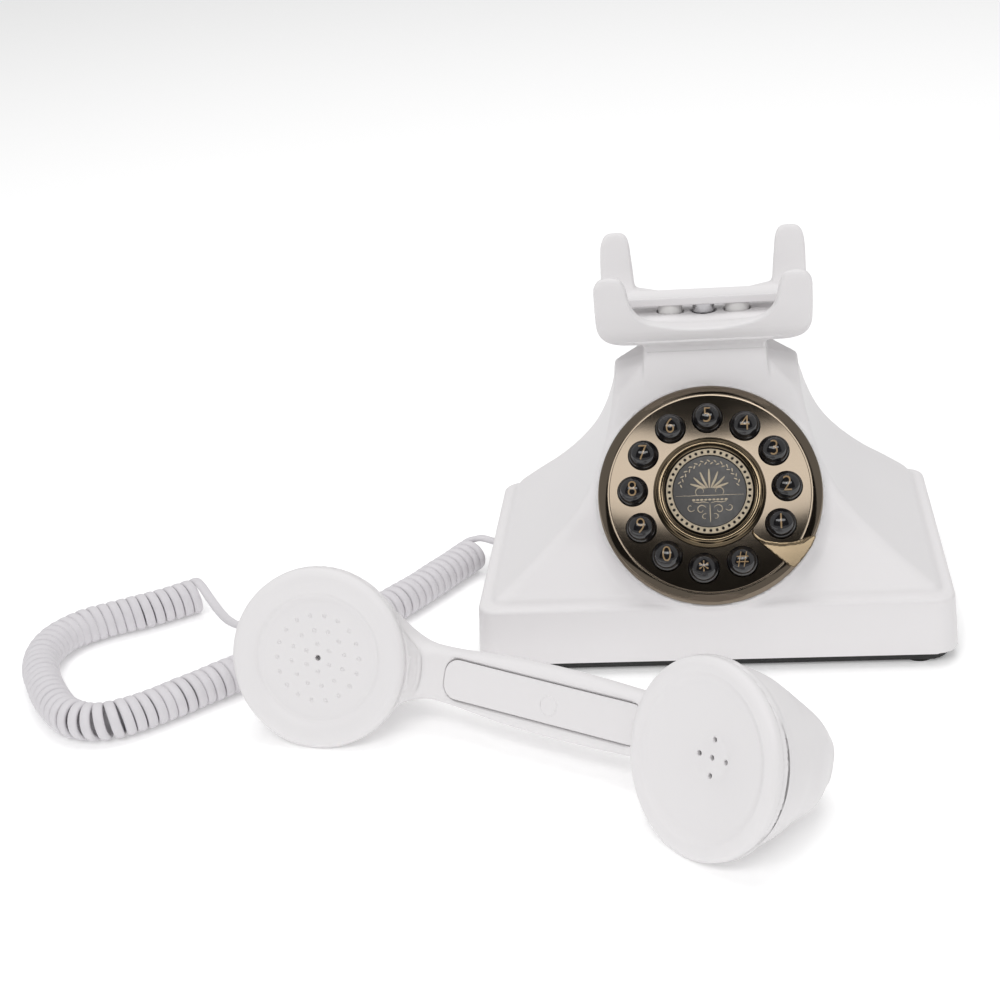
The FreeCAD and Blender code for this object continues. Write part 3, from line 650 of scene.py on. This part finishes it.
cradleSettings = {
    "side": [(0, 112.4), (12, 112.6), (17.5, 114.4), (22.3, 119.5), (25.6, 127.5), (28, 135), (30.8, 143.4),
             (29.8, 144.9), (28.1, 144.4), (25, 136.5), (22.3, 129.8), (19, 124.6), (14.5, 122.2), (10, 122.5),
             (5.5, 121.9), (0, 121.8)],
    "front": [(0, 112.3), (10, 112.5), (19, 113.2), (25.5, 113.6), (32, 114.2), (37, 117), (39.6, 122), (40, 129),
              (39.9, 137), (39.6, 141), (37.6, 144.2), (33.8, 145.3), (30, 144.2), (28.1, 140.5), (27.2, 135.5),
              (25.8, 130.6), (23, 127), (18.6, 124.6), (10, 122.6), (0, 121.9)],
    "rear": [(0, 112.3), (10, 112.5), (19, 113.2), (25.5, 113.6), (32, 114.2), (37, 117), (39.6, 122), (40, 129),
             (39.9, 137), (39.2, 141.6), (37.2, 144.4), (33.8, 145.3), (30.6, 144.4), (28.7, 141.4), (27.9, 135.5),
             (27.3, 130), (26.9, 125.8), (26.2, 124.5), (24.5, 124), (17, 122.6), (8, 121.8), (0, 121.6)],
    "edge": 1.1, "blend": 12,  # the front outline turns into the rear one over this depth
    "foot": (22.7, 13.6, 1.0), "footSpan": (109.6, 116), "flareFrom": 110.9, "flare": 0.28, "footJoin": 1.0,
}


def mirrored(half):  # a closed outline from its right half
    return half + [(-x, y) for x, y in reversed(half) if x != 0]


cradleSide, cradleFront, cradleRear = (smoothLoop(mirrored(cradleSettings[k]), 4) for k in ("side", "front", "rear"))


def cradleShape(x, y, z):
    s = cradleSettings
    v = y - hookPosts["y"]
    share = np.clip(v / s["blend"] + 0.5, 0, 1)
    across = outlineDistance(x, z, cradleFront) * (1 - share) + outlineDistance(x, z, cradleRear) * share
    fork = roundedMax(outlineDistance(v, z, cradleSide), across, s["edge"])
    flare = np.maximum(z - s["flareFrom"], 0) ** 2 * s["flare"]
    low, high = s["footSpan"]
    foot = np.maximum(slab(x, v, *s["foot"]) - flare, np.maximum(z - high, low - z))
    solid = roundedMin(fork, foot, s["footJoin"])
    for spot, radius in hookPosts["rows"]:
        solid = drilled(solid, x - spot, v, radius + hookPosts["gap"])
    return solid


finished(meshFrom("cradle_fork", cradleShape, (-42, -31, 109), (42, 36, 147), 0.8), "base", whiteCradle,
         ["cradle"])

barSettings = {"half": 30.0, "front": -3, "back": 7.6, "low": 125.2, "high": 128.6, "dip": 0.9, "corner": 2.0,
               "edge": 0.45}


def barShape(x, y, z):
    s = barSettings
    mid, half = (s["front"] + s["back"]) / 2, (s["back"] - s["front"]) / 2
    plan = slab(x, y - mid, s["half"], half, s["corner"])
    top = z - s["high"] + s["dip"] * np.maximum(0, 1 - ((y - mid) / half) ** 2)
    return roundedMax(plan, np.maximum(top, s["low"] - z), s["edge"])


finished(meshFrom("hook_rest", barShape, (-32, -5, 124), (32, 10, 130), 0.5), "hook", whiteCradle, ["hook_bar"])


# ---- handset ----

handsetSettings = {
    "place": (-74.07, -139.66, 32.05), "yaw": -27.85, "roll": -21.68,
    "reach": 77.3, "tilt": 18.32, "halfLength": 103.6, "cupJoin": 13.0,
    "mouth": (26.2, 8.6), "face": (3.4, 3.6, 40.0),  # opening's radius and depth; where the cup starts
    "cup": [(0, 33), (4, 33), (5.6, 33), (7, 32.3), (8.4, 31.4), (12, 30.6), (17, 29.3), (22, 27.6),
            (27, 25.2), (32, 22.6), (37, 19.2), (41, 14.6), (44, 9.5), (46, 4), (48, -2)],
    "rest": 32.05, "lean": (-0.3694, 0.9293),  # height over the table: of the origin, and per mm of y and z
    "ease": 5.0, "gap": 0.3,
    "grip": [(22.3, 0), (22.3, 8), (22.8, 10.2), (24.5, 11.9), (27.5, 12.6), (31, 11.4), (35, 8.9), (39, 5.6),
             (41.4, 3), (42.2, 0)],
    "widths": [(-110, 0.80), (-60, 0.82), (-35, 0.82), (-15, 0.95), (5, 1), (25, 0.98), (44, 0.92), (60, 0.9),
               (110, 0.85)],
    "seatMiddle": 4.8, "seat": (41.3, 7.4, 5.8), "seatSpan": (12, 24.1),
    "window": ((-102.7, 9.3), (22, 6.2), (0, 6)),  # for the cord's socket: middles and half sizes
}
h = handsetSettings
handsetPlace = Matrix.Translation(h["place"]) @ rotated("Z", h["yaw"]) @ rotated("X", h["roll"])


def cupPlace(side):
    return (handsetPlace @ Matrix.Translation((side * h["reach"], 0, 0))
            @ rotated("Z", -h["tilt"] * side) @ rotated("X", 90))


gripOutline = smoothLoop(h["grip"] + [(y, -z) for y, z in reversed(h["grip"]) if z], 3)
cupTable = smoothTable(h["cup"], 0.25)
widthTable = smoothTable(h["widths"], 1.0)


def cupDepth(side, x, y):  # depth behind a cap's face, and the offset across it
    c, s = cosineSine(h["tilt"])
    u = side * x - h["reach"]
    return u * s + y * c, u * c - y * s


def handsetShape(x, y, z):
    solid = roundedMax(gripField(y, z / np.interp(x, *widthTable)), np.abs(x) - h["halfLength"], 3.0)
    start, trim, around = h["face"]
    opening, deep = h["mouth"]
    ends = [(side, *cupDepth(side, x, y)) for side in (-1, 1)]
    for side, depth, off in ends:
        radius, slope = reading(cupTable, np.clip(depth, 0, 48))
        cup = (np.sqrt(off ** 2 + z ** 2) - radius) / np.sqrt(1 + slope ** 2)
        solid = roundedMin(solid, np.maximum(cup, start - depth), h["cupJoin"])
    for side, depth, off in ends:
        near = around - np.sqrt((x - side * h["reach"]) ** 2 + y ** 2)
        solid = np.maximum(solid, np.minimum(trim - depth, near))
        mouth = overlap(np.sqrt(off ** 2 + z ** 2) - opening, depth - deep, -depth - 5)
        solid = np.maximum(solid, -mouth)
    low, high = h["seatSpan"]
    seat = roundedMax(slab(x - h["seatMiddle"], z, *h["seat"]), np.maximum(y - high, low - y), 0.1)
    over = h["rest"] + h["lean"][0] * y + h["lean"][1] * z
    solid = roundedMax(np.maximum(solid, -seat), h["gap"] - over, h["ease"])  # eased where it rests
    return np.maximum(solid, -block(*((c - middle, half) for c, (middle, half) in zip((x, y, z), h["window"]))))


gripArea = {"low": 14, "high": 49.8, "half": 22, "step": 0.2}
gripRows, gripColumns = (np.arange(gripArea["low"], 50, gripArea["step"]), np.arange(-22, 22.1, gripArea["step"]))
gripGrid = outlineDistance(gripRows[:, None], gripColumns[None, :], gripOutline)


def gripField(y, z):  # the grip's section, read from a table
    low, high, half, step = gripArea.values()
    i = np.clip((y - low) / step, 0, gripGrid.shape[0] - 1.001)
    j = np.clip((z + half) / step, 0, gripGrid.shape[1] - 1.001)
    i, j = np.broadcast_arrays(i, j)
    a, b = i.astype(int), j.astype(int)
    s, t = i - a, j - b
    near = (gripGrid[a, b] * (1 - s) * (1 - t) + gripGrid[a + 1, b] * s * (1 - t)
            + gripGrid[a, b + 1] * (1 - s) * t + gripGrid[a + 1, b + 1] * s * t)
    return near + np.hypot(np.maximum(np.maximum(low - y, y - high), 0), np.maximum(np.abs(z) - half, 0))


finished(meshFrom("handset_case", handsetShape, (-118, -3, -37), (118, 50, 37), 1.1, handsetPlace), "handset",
         whiteBody, ["handset_shell"])


def inlayShape(x, y, z):
    bar = roundedMax(slab(x - h["seatMiddle"], z, 41.08, 7.18, 5.6), np.maximum(22.28 - y, y - 24.0), 0.3)
    disc = roundedMax(np.hypot(x - 8.0, z + 0.8) - 3.3, np.maximum(22.02 - y, y - 23), 0.24)
    return roundedMin(bar, disc, 0.15)


finished(meshFrom("grip_strip", inlayShape, (-40, 21, -9), (48, 25, 9), 0.45, handsetPlace), "handset", whiteBody,
         ["grip_inlay"])

capSettings = {
    "radius": 32.8, "edge": 0.35, "back": 4.0,
    "steps": [(32.5, 6.2), (25.9, 8.2)],  # spigot and skirt behind the face: radius and depth
    "pit": 0.85, "pitRise": 1.5725,
    "mouth": [(0, -1.9), (20, -1.9), (22.3, -1.9), (22.8, -1.75), (23.4, -1.3), (24.6, -0.75), (26.4, -0.22), (28.3, 0),
              (30.2, -0.15), (31.8, -0.8), (33.2, -2.4)],
    "ear": [(0, -6.2), (7.4, -6.2), (8.2, -5.95), (12, -4.9), (18, -3.5), (23, -2.3), (25.6, -1.6), (26.6, -1.1),
            (27.6, -0.4), (28.6, -0.08), (29.6, 0), (30.8, -0.2), (32.1, -0.9), (33.2, -2.4)],
    "mouthHoles": [(0, 0, 1.0)], "earHole": 0.85, "earRing": (6.0, 4, 0),
    "pitRings": [(5.0, 6, 38), (10.1, 12, 15), (15.6, 18, 8)],  # radius, count and turn
}
mouthTable = smoothTable(capSettings["mouth"], 0.1)
earTable = smoothTable(capSettings["ear"], 0.1)


def capShape(table, holes, pits):
    def shape(x, y, z):
        r = np.sqrt(x * x + y * y)
        height, slope = reading(table, np.clip(r, 0, 33.2))
        top = (z - height) / np.sqrt(1 + slope ** 2)
        solid = roundedMax(r - capSettings["radius"], np.maximum(top, -capSettings["back"] - z), capSettings["edge"])
        for radius, depth in capSettings["steps"]:
            solid = np.minimum(solid, overlap(r - radius, top, -depth - z))
        for hx, hy, radius in holes:
            solid = roundedMax(solid, radius - np.sqrt((x - hx) ** 2 + (y - hy) ** 2), 0.15)
        for px, py in pits:
            deep = np.sqrt((x - px) ** 2 + (y - py) ** 2 + (z + capSettings["pitRise"]) ** 2)
            solid = np.maximum(solid, capSettings["pit"] - deep)
        return solid
    return shape


def ringSpots(radius, count, turn):
    turns = [math.radians(360 * k / count + turn) for k in range(count)]
    return [(radius * math.cos(a), radius * math.sin(a)) for a in turns]


pitSpots = [spot for ring in capSettings["pitRings"] for spot in ringSpots(*ring)]
hole = capSettings["earHole"]
earHoles = [(0, 0, hole)] + [(x, y, hole) for x, y in ringSpots(*capSettings["earRing"])]
for name, table, holes, pits, step, side in (("mouthpiece", mouthTable, capSettings["mouthHoles"], pitSpots, 0.44, -1),
                                             ("earpiece", earTable, earHoles, [], 0.5, 1)):
    cap = meshFrom(f"{name}_face", capShape(table, holes, pits), (-34, -34, -9), (34, 34, 1), step, cupPlace(side))
    finished(cap, "handset", whiteCap, [f"{name}_cap"])
print("handset made")


# ---- dial ----

keySettings = {
    "names": ["1", "2", "3", "4", "5", "6", "7", "8", "9", "0", "star", "hash"],
    "ring": 28.7, "first": -26, "apart": 29, "radius": 5.5, "gap": 0.35,
    "profile": [(0, -5), (5.5, -5), (5.5, 0.75), (5.4, 1.15), (5.1, 1.35), (4.95, 1.5), (4.9, 1.95), (4.7, 2.65),
                (4.3, 3.3), (3.7, 3.9), (2.8, 4.38), (1.8, 4.67), (0.9, 4.78), (0, 4.8)],
    "digit": 8.4, "starSize": 1.15, "narrow": 0.92, "inset": 0.10, "starInset": 0.03,
    "raised": 0.07, "sunk": 0.12, "longest": 0.45,
}


def keyPlace(index):  # in the dial
    a = math.radians(keySettings["first"] + keySettings["apart"] * index)
    return Matrix.Translation((keySettings["ring"] * math.cos(a), keySettings["ring"] * math.sin(a), 0))


plateProfile = [(16.8, -4.2), (41.5, -4.2), (41.8, -3.9), (41.9, -3.4), (41.85, -2.7), (41.6, -2.2), (41.1, -1.7),
                (40.4, -1.3), (38.35, -0.75), (38.2, -0.85), (38.1, -1.15), (37.6, -1.15), (37.5, -0.85),
                (37.35, -0.7)]
plateProfile += [(r, -0.0005 * r * r) for r in np.linspace(36.4, 16.8, 15)]  # slightly domed


def dialPlate():
    plate = turnedPiece("dial_face", plateProfile, steps=256)
    hole = keySettings["radius"] + keySettings["gap"]
    profile = [(0, -6), (hole, -6), (hole, -0.35), (hole + 0.1, 0.4), (0, 0.4)]
    cutter = joined("cutters", [turnedPiece(f"cutter_{k}", profile, keyPlace(k), 56) for k in range(12)])
    boolean = plate.modifiers.new("holes", "BOOLEAN")
    boolean.operation = "DIFFERENCE"
    boolean.object = cutter
    boolean.solver = "EXACT"
    bake(plate)
    bpy.data.objects.remove(cutter)
    placed(plate, dialPlace)
    return edged(plate, 20)


def joined(name, things):  # several meshes as one, materials kept
    mesh = bpy.data.meshes.new(name)
    points, faces, shades, finishes, smooth = [], [], [], [], []
    for thing in things:
        data = thing.data
        start = len(points)
        points += [v.co[:] for v in data.vertices]
        index = []
        for m in data.materials:
            if m not in finishes:
                finishes.append(m)
            index.append(finishes.index(m))
        for p in data.polygons:
            faces.append([start + v for v in p.vertices])
            shades.append(index[p.material_index] if index else 0)
            smooth.append(p.use_smooth)
        bpy.data.objects.remove(thing)
    mesh.from_pydata(points, [], faces)
    for m in finishes:
        mesh.materials.append(m)
    mesh.polygons.foreach_set("material_index", shades)
    mesh.polygons.foreach_set("use_smooth", smooth)
    return linked(name, mesh)


finished(dialPlate(), "base", plateMetal, ["dial_plate"])


def keyDome(radius):
    r, z = zip(*[(r, z) for r, z in reversed(keySettings["profile"]) if z > 0])
    return np.interp(radius, r, z)


def digitMesh(text, place):  # a numeral laid over a key's dome
    s = keySettings
    star = text == "*"
    curve = bpy.data.curves.new("mark", "FONT")
    curve.body = text
    curve.size = s["digit"] * (s["starSize"] if star else 1)
    curve.align_x = "CENTER"
    curve.align_y = "CENTER"
    curve.resolution_u = 5
    curve.offset = -s["starInset"] if star else -s["inset"]
    holder = linked("mark", curve)
    mesh = evaluatedMesh(holder)
    bpy.data.objects.remove(holder)
    fine = bmesh.new()
    fine.from_mesh(mesh)
    for _ in range(5):
        long = [edge for edge in fine.edges if edge.calc_length() > s["longest"]]
        bmesh.ops.subdivide_edges(fine, edges=long, cuts=1)
        bmesh.ops.triangulate(fine, faces=[face for face in fine.faces if len(face.verts) > 3])
    fine.to_mesh(mesh)
    fine.free()
    co = np.array([v.co for v in mesh.vertices])
    co = co - (co.max(0) + co.min(0)) / 2
    co[:, 0] *= s["narrow"]
    faces = [list(p.vertices) for p in mesh.polygons]
    bpy.data.meshes.remove(mesh)
    top, low = co.copy(), co.copy()
    dome = keyDome(np.hypot(co[:, 0], co[:, 1]))
    top[:, 2], low[:, 2] = dome + s["raised"], dome - s["sunk"]
    n = len(co)
    edges = dict.fromkeys((a, b) for f in faces for a, b in zip(f, f[1:] + f[:1]))
    sides = [(a, b, b + n, a + n) for a, b in edges if (b, a) not in edges]
    faces += [[v + n for v in reversed(f)] for f in faces] + [[q for q in reversed(side)] for side in sides]
    return outwards(newObject("mark", np.concatenate([top, low]), faces, place, smooth=False))


signs = {"star": "*", "hash": "#"}
for index, name in enumerate(keySettings["names"]):
    spot = dialPlace @ keyPlace(index)
    dome = coated(turnedPiece("dome", keySettings["profile"], spot, 56), keyGloss)
    mark = coated(digitMesh(signs.get(name, name), spot @ Matrix.Translation((0, 0.15, 0))), digitInk)
    key = joined(f"button_{name}", [dome, mark])
    finished(edged(key, 50), f"key_{name}", None, [f"key_{name}"])
print("keys made")

ringProfile = [(16.8, -0.4), (20.9, -0.4), (20.95, 0.9), (20.8, 1.3), (20.3, 1.5), (19.8, 1.55), (19.65, 1.7),
               (19.55, 2.5), (19.3, 3), (18.9, 3.2), (18.3, 3.15), (18, 2.8), (17.8, 2.5), (17.2, 2.45), (16.8, 2.2)]
finished(edged(turnedPiece("medal_ring", ringProfile, dialPlace, 160), 40), "base", ringMetal, ["centre_ring"])

medalProfile = [(0, -3), (16.4, -3), (16.4, 2.45), (16.2, 2.7), (15.9, 2.8), (13.9, 2.8), (13.7, 2.75),
                (13.55, 2.55), (13.45, 2.4), (0, 2.4)]
bandProfile = [(14.3, 0.9), (16.6, 0.9), (16.7, 1), (16.6, 1.12), (16.2, 1.12), (16.1, 1), (14.9, 1),
               (14.8, 1.12), (14.4, 1.12), (14.3, 1)]
medalPlace = dialPlace @ Matrix.Translation((0, 0, 1.86)) @ Matrix.Diagonal((0.962, 0.962, 1, 1))


def beadedBand(count, reach, bead):  # a ring of beads as Geometry Nodes
    tree = bpy.data.node_groups.new("beaded_band", "GeometryNodeTree")
    face = tree.interface
    face.new_socket("Geometry", in_out="OUTPUT", socket_type="NodeSocketGeometry")
    for title, kind, value in (("Count", "NodeSocketInt", count), ("Reach", "NodeSocketFloat", reach),
                               ("Bead", "NodeSocketFloat", bead), ("Finish", "NodeSocketMaterial", None)):
        socket = face.new_socket(title, in_out="INPUT", socket_type=kind)
        if value is not None:
            socket.default_value = value
    enter, leave, circle, place, ball, real, shade, soft = (tree.nodes.new(kind) for kind in (
        "NodeGroupInput", "NodeGroupOutput", "GeometryNodeMeshCircle", "GeometryNodeInstanceOnPoints",
        "GeometryNodeMeshUVSphere", "GeometryNodeRealizeInstances", "GeometryNodeSetMaterial",
        "GeometryNodeSetShadeSmooth"))
    ball.inputs["Segments"].default_value = 8
    ball.inputs["Rings"].default_value = 6
    for a, source, b, target in ((enter, "Count", circle, "Vertices"), (enter, "Reach", circle, "Radius"),
                                 (enter, "Bead", ball, "Radius"), (circle, "Mesh", place, "Points"),
                                 (ball, "Mesh", place, "Instance"), (place, "Instances", soft, "Geometry"),
                                 (soft, "Geometry", real, "Geometry"), (real, "Geometry", shade, "Geometry"),
                                 (enter, "Finish", shade, "Material"), (shade, "Geometry", leave, "Geometry")):
        tree.links.new(a.outputs[source], b.inputs[target])
    return tree


def fromTree(name, tree, **values):  # one mesh from a node tree
    holder = linked(name, bpy.data.meshes.new(name))
    modifier = holder.modifiers.new("nodes", "NODES")
    modifier.node_group = tree
    for item in tree.interface.items_tree:
        if item.in_out == "INPUT" and item.name in values:
            modifier[item.identifier] = values[item.name]
    return bake(holder)


def ribbon(points, width, lift, low=0.35):  # a raised line of the medal's ornament, tapered at its ends
    p = np.array(points, float)
    s = along(p)
    count = max(6, int(s[-1] / 0.45))
    want = np.linspace(0, s[-1], count)
    p = np.stack([np.interp(want, s, p[:, k]) for k in range(2)], 1)
    go = unit(np.gradient(p, axis=0))
    side = np.stack([-go[:, 1], go[:, 0]], 1)
    half = width / 2 * np.clip(np.sin(np.linspace(0.12, math.pi - 0.12, count)) ** 0.5, 0.25, 1)[:, None]
    rows = [np.c_[p + side * half, np.full(count, low)], np.c_[p + side * half * 0.55, np.full(count, lift)],
            np.c_[p - side * half * 0.55, np.full(count, lift)], np.c_[p - side * half, np.full(count, low)]]
    points = np.stack(rows, 1).reshape(-1, 3)
    faces = [(4 * r + k, 4 * r + (k + 1) % 4, 4 * r + 4 + (k + 1) % 4, 4 * r + 4 + k)
             for r in range(count - 1) for k in range(4)]
    faces += [(0, 1, 2, 3), tuple(4 * (count - 1) + k for k in (3, 2, 1, 0))]
    return outwards(newObject("ornament", points, faces, medalPlace))


def arc(cx, cy, radius, start, end, grow, steps=18):
    return [(cx + (radius + grow * t) * math.cos(math.radians(start + (end - start) * t)),
             cy + (radius + grow * t) * math.sin(math.radians(start + (end - start) * t)))
            for t in np.linspace(0, 1, steps)]


medalSettings = {
    "curls": [((3.6, -0.1, 1.25, 200, -60, 0.7), 0.5, 0.7), ((3.4, -7.2, 2.0, 160, -170, -1.3), 0.55, 0.72),
              ((7.4, -6.3, 1.7, -150, 130, -1.1), 0.5, 0.72), ((2.0, -10.0, 1.3, 120, -120, -0.6), 0.45, 0.7)],
    "twig": [(0.4, -4.6), (2.4, -4.1), (4.6, -4.4), (6.6, -3.9)],
    "beads": (40, 15.5, 0.62), "beadPlace": (1.02, 0.55),  # count, reach and radius; height and flatness
}


def medallion():
    disc = coated(turnedPiece("medal_disc", medalProfile, dialPlace, 128), lacquer)
    band = coated(turnedPiece("medal_band", bandProfile, medalPlace, 128), ornamentMetal)
    lines = [ribbon([(-13.2, -1.6), (13.2, -1.6)], 0.34, 0.62)]
    for k in range(-3, 4):  # palmette of seven leaves over the rule
        heading = np.array(cosineSine(90 - 24 * k))
        length = 7.6 - abs(k) * 0.55
        base = np.array([0.55 * k, 1.2])
        bend = heading * length * 0.5 + np.array([k * 0.28, 0.25])
        lines.append(ribbon([base, base + bend * 0.55, base + bend, base + length * heading], 1.25, 0.78))
    for side in (-1, 1):
        for curl, width, lift in medalSettings["curls"]:
            lines.append(ribbon([(side * x, y) for x, y in arc(*curl)], width, lift))
        lines.append(ribbon([(side * x, y) for x, y in medalSettings["twig"]], 0.5, 0.7))
    lines.append(ribbon([(0, -5), (0, -12.2)], 0.6, 0.7))
    for k in range(-4, 5):  # a row of lozenges under the rule
        lines.append(ribbon([(k * 1.55 - 0.62, -3.3), (k * 1.55 + 0.62, -3.3)], 1.1, 0.72))
    for k in range(27):  # leaf garland round the upper edge
        a = 12 + 6 * k
        lines.append(ribbon(arc(0, 0, 11.6, a - 2.9, a + 2.9, 0.9 if k % 2 else -0.9, 5), 0.7, 0.72))
    for line in lines:
        coated(line, ornamentMetal)
    count, reach, bead = medalSettings["beads"]
    beads = fromTree("medal_beads", beadedBand(count, reach * mm, bead * mm), Finish=lacquer)
    height, flatness = medalSettings["beadPlace"]
    placed(beads, medalPlace @ Matrix.Translation((0, 0, height)) @ Matrix.Diagonal((1, 1, flatness, 1)))
    return edged(joined("medal", [disc, band, beads, *lines]), 40)


finished(medallion(), "medallion", None, ["medallion_button"])

stopOutline = [(15.5, -14.4), (16.3, -16.2), (17.8, -17.7), (20.3, -18.9), (25, -19.7), (30, -19.6),
               (33.6, -18.8), (37.2, -17.5), (38.4, -18), (36.7, -21.6), (33.6, -25.8), (30.4, -29.3),
               (28.8, -28.9), (24.2, -25), (19.6, -21), (16.2, -17.8), (14.9, -15.6)]
stopEdge = stopOutline[:8] + [(33.6, -19.9), (30, -20.7), (25, -20.8), (20, -20), (17, -18.5), (15.4, -16.6)]


def stopShape(x, y, z):  # a thin wedge out to the rim, its upper side a raised lip
    plan = outlineDistance(x, y, np.array(stopOutline))
    under = -0.02 - z
    flat = roundedMax(plan, np.maximum(z - 0.45, under), 0.2)
    lip = roundedMax(outlineDistance(x, y, np.array(stopEdge)), np.maximum(z - 1.25, under), 0.3)
    return roundedMin(flat, lip, 0.3)


finished(meshFrom("stop_hook", stopShape, (14, -32, -1), (40, -13, 2.5), 0.3, dialPlace), "base", ringMetal,
         ["finger_stop"])
print("dial made")


# ---- finishes on what stays as it is ----

kept = {
    "rubber_feet": footRubber, "key_mat": matRubber, "hook_centre_pin": brightSteel,
    **dict.fromkeys(("base_screws", "keypad_screws", "hook_spring", "hook_bracket", "ballast_plate", "handset_weight"),
                    plainSteel),
    **dict.fromkeys(("keypad_board", "main_board"), boardGreen),
    **dict.fromkeys(("hook_post_left", "hook_post_right"), whiteAcetal),
    **dict.fromkeys(("hook_yoke", "hook_switch", "handset_cord_jack", "line_jack", "handset_socket"), blackCase),
    **dict.fromkeys(("speaker", "microphone", "receiver"), canMetal),
    **dict.fromkeys(("cord_plug_base", "cord_plug_handset"), clearPlug),
}
for node, finish in kept.items():
    coated(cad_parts[node], finish)


# ---- floor and light ----

def floorFinish():
    f = Finish("floor_paper", Specular_IOR_Level=0.1, Emission_Color=(1, 1, 1, 1), Emission_Strength=0.20)
    grain = f.noise(f.place(), 500, 2)
    f.set(Base_Color=f.blend(grain, (0.93, 0.93, 0.93, 1), (0.95, 0.95, 0.95, 1)), Roughness=0.85 + grain * 0.1)
    return f.material


reach = 6000
floor = newObject("floor", [(x * reach, y * reach, 0) for x, y in ((-1, -1), (1, -1), (1, 1), (-1, 1))], [(0, 1, 2, 3)])
coated(floor, floorFinish())


def softLight(name, place, target, size, power):
    light = bpy.data.lights.new(name, "AREA")
    light.shape = "RECTANGLE"
    light.size, light.size_y = size
    light.energy = power
    holder = linked(name, light)
    holder.location = place
    holder.rotation_euler = (Vector(target) - Vector(place)).to_track_quat("-Z", "Y").to_euler()
    return holder


lightSettings = {
    "turn": 15.6, "lift": 49.0, "wide": 23.0, "high": 7.8, "reach": 1.68,  # the two strip boxes, seen from the dial
    "strip": 1.6, "sky": 0.50, "top": 13.5, "front": 7.6,
    "cardTurns": (-50, 50), "cardLifts": (12, 92), "cardReach": 4.4,
}
dialMiddle = dialPlace.translation * mm


def fromDial(turn, lift, reach):
    t, e = math.radians(turn), math.radians(lift)
    return dialMiddle + reach * Vector((math.sin(t) * math.cos(e), -math.cos(t) * math.cos(e), math.sin(e)))


def makeLights(s):
    wide, high = (2 * s["reach"] * math.tan(math.radians(s[k] / 2)) for k in ("wide", "high"))
    for name, side in (("left_light", -1), ("right_light", 1)):
        softLight(name, fromDial(side * s["turn"], s["lift"], s["reach"]), dialMiddle, (wide, high), s["strip"])
    top = softLight("top_light", (0.0, 0.30, 1.9), (0, 0, 0.04), (1.4, 1.2), s["top"])
    front = softLight("front_light", (-0.40, -1.3, 1.45), (0, 0, 0.05), (0.9, 0.9), s["front"])
    top.visible_glossy = front.visible_glossy = False


def darkPanel(s):  # black card behind the strip boxes, seen only in shiny things
    corners = [fromDial(s["cardTurns"][i], s["cardLifts"][j], s["cardReach"]) / mm
               for i, j in ((0, 0), (1, 0), (1, 1), (0, 1))]
    panel = newObject("black_card", corners, [(0, 1, 2, 3)])
    coated(panel, blackCase)
    panel.visible_camera = panel.visible_diffuse = panel.visible_shadow = panel.visible_transmission = False


makeLights(lightSettings)
darkPanel(lightSettings)


def makeWorld():
    world = bpy.data.worlds.new("studio")
    bpy.context.scene.world = world
    world.use_nodes = True
    background = world.node_tree.nodes["Background"]
    background.inputs["Color"].default_value = (1, 1, 1, 1)
    background.inputs["Strength"].default_value = lightSettings["sky"]


makeWorld()
bpy.context.scene.view_settings.view_transform = "Standard"
print("light set")
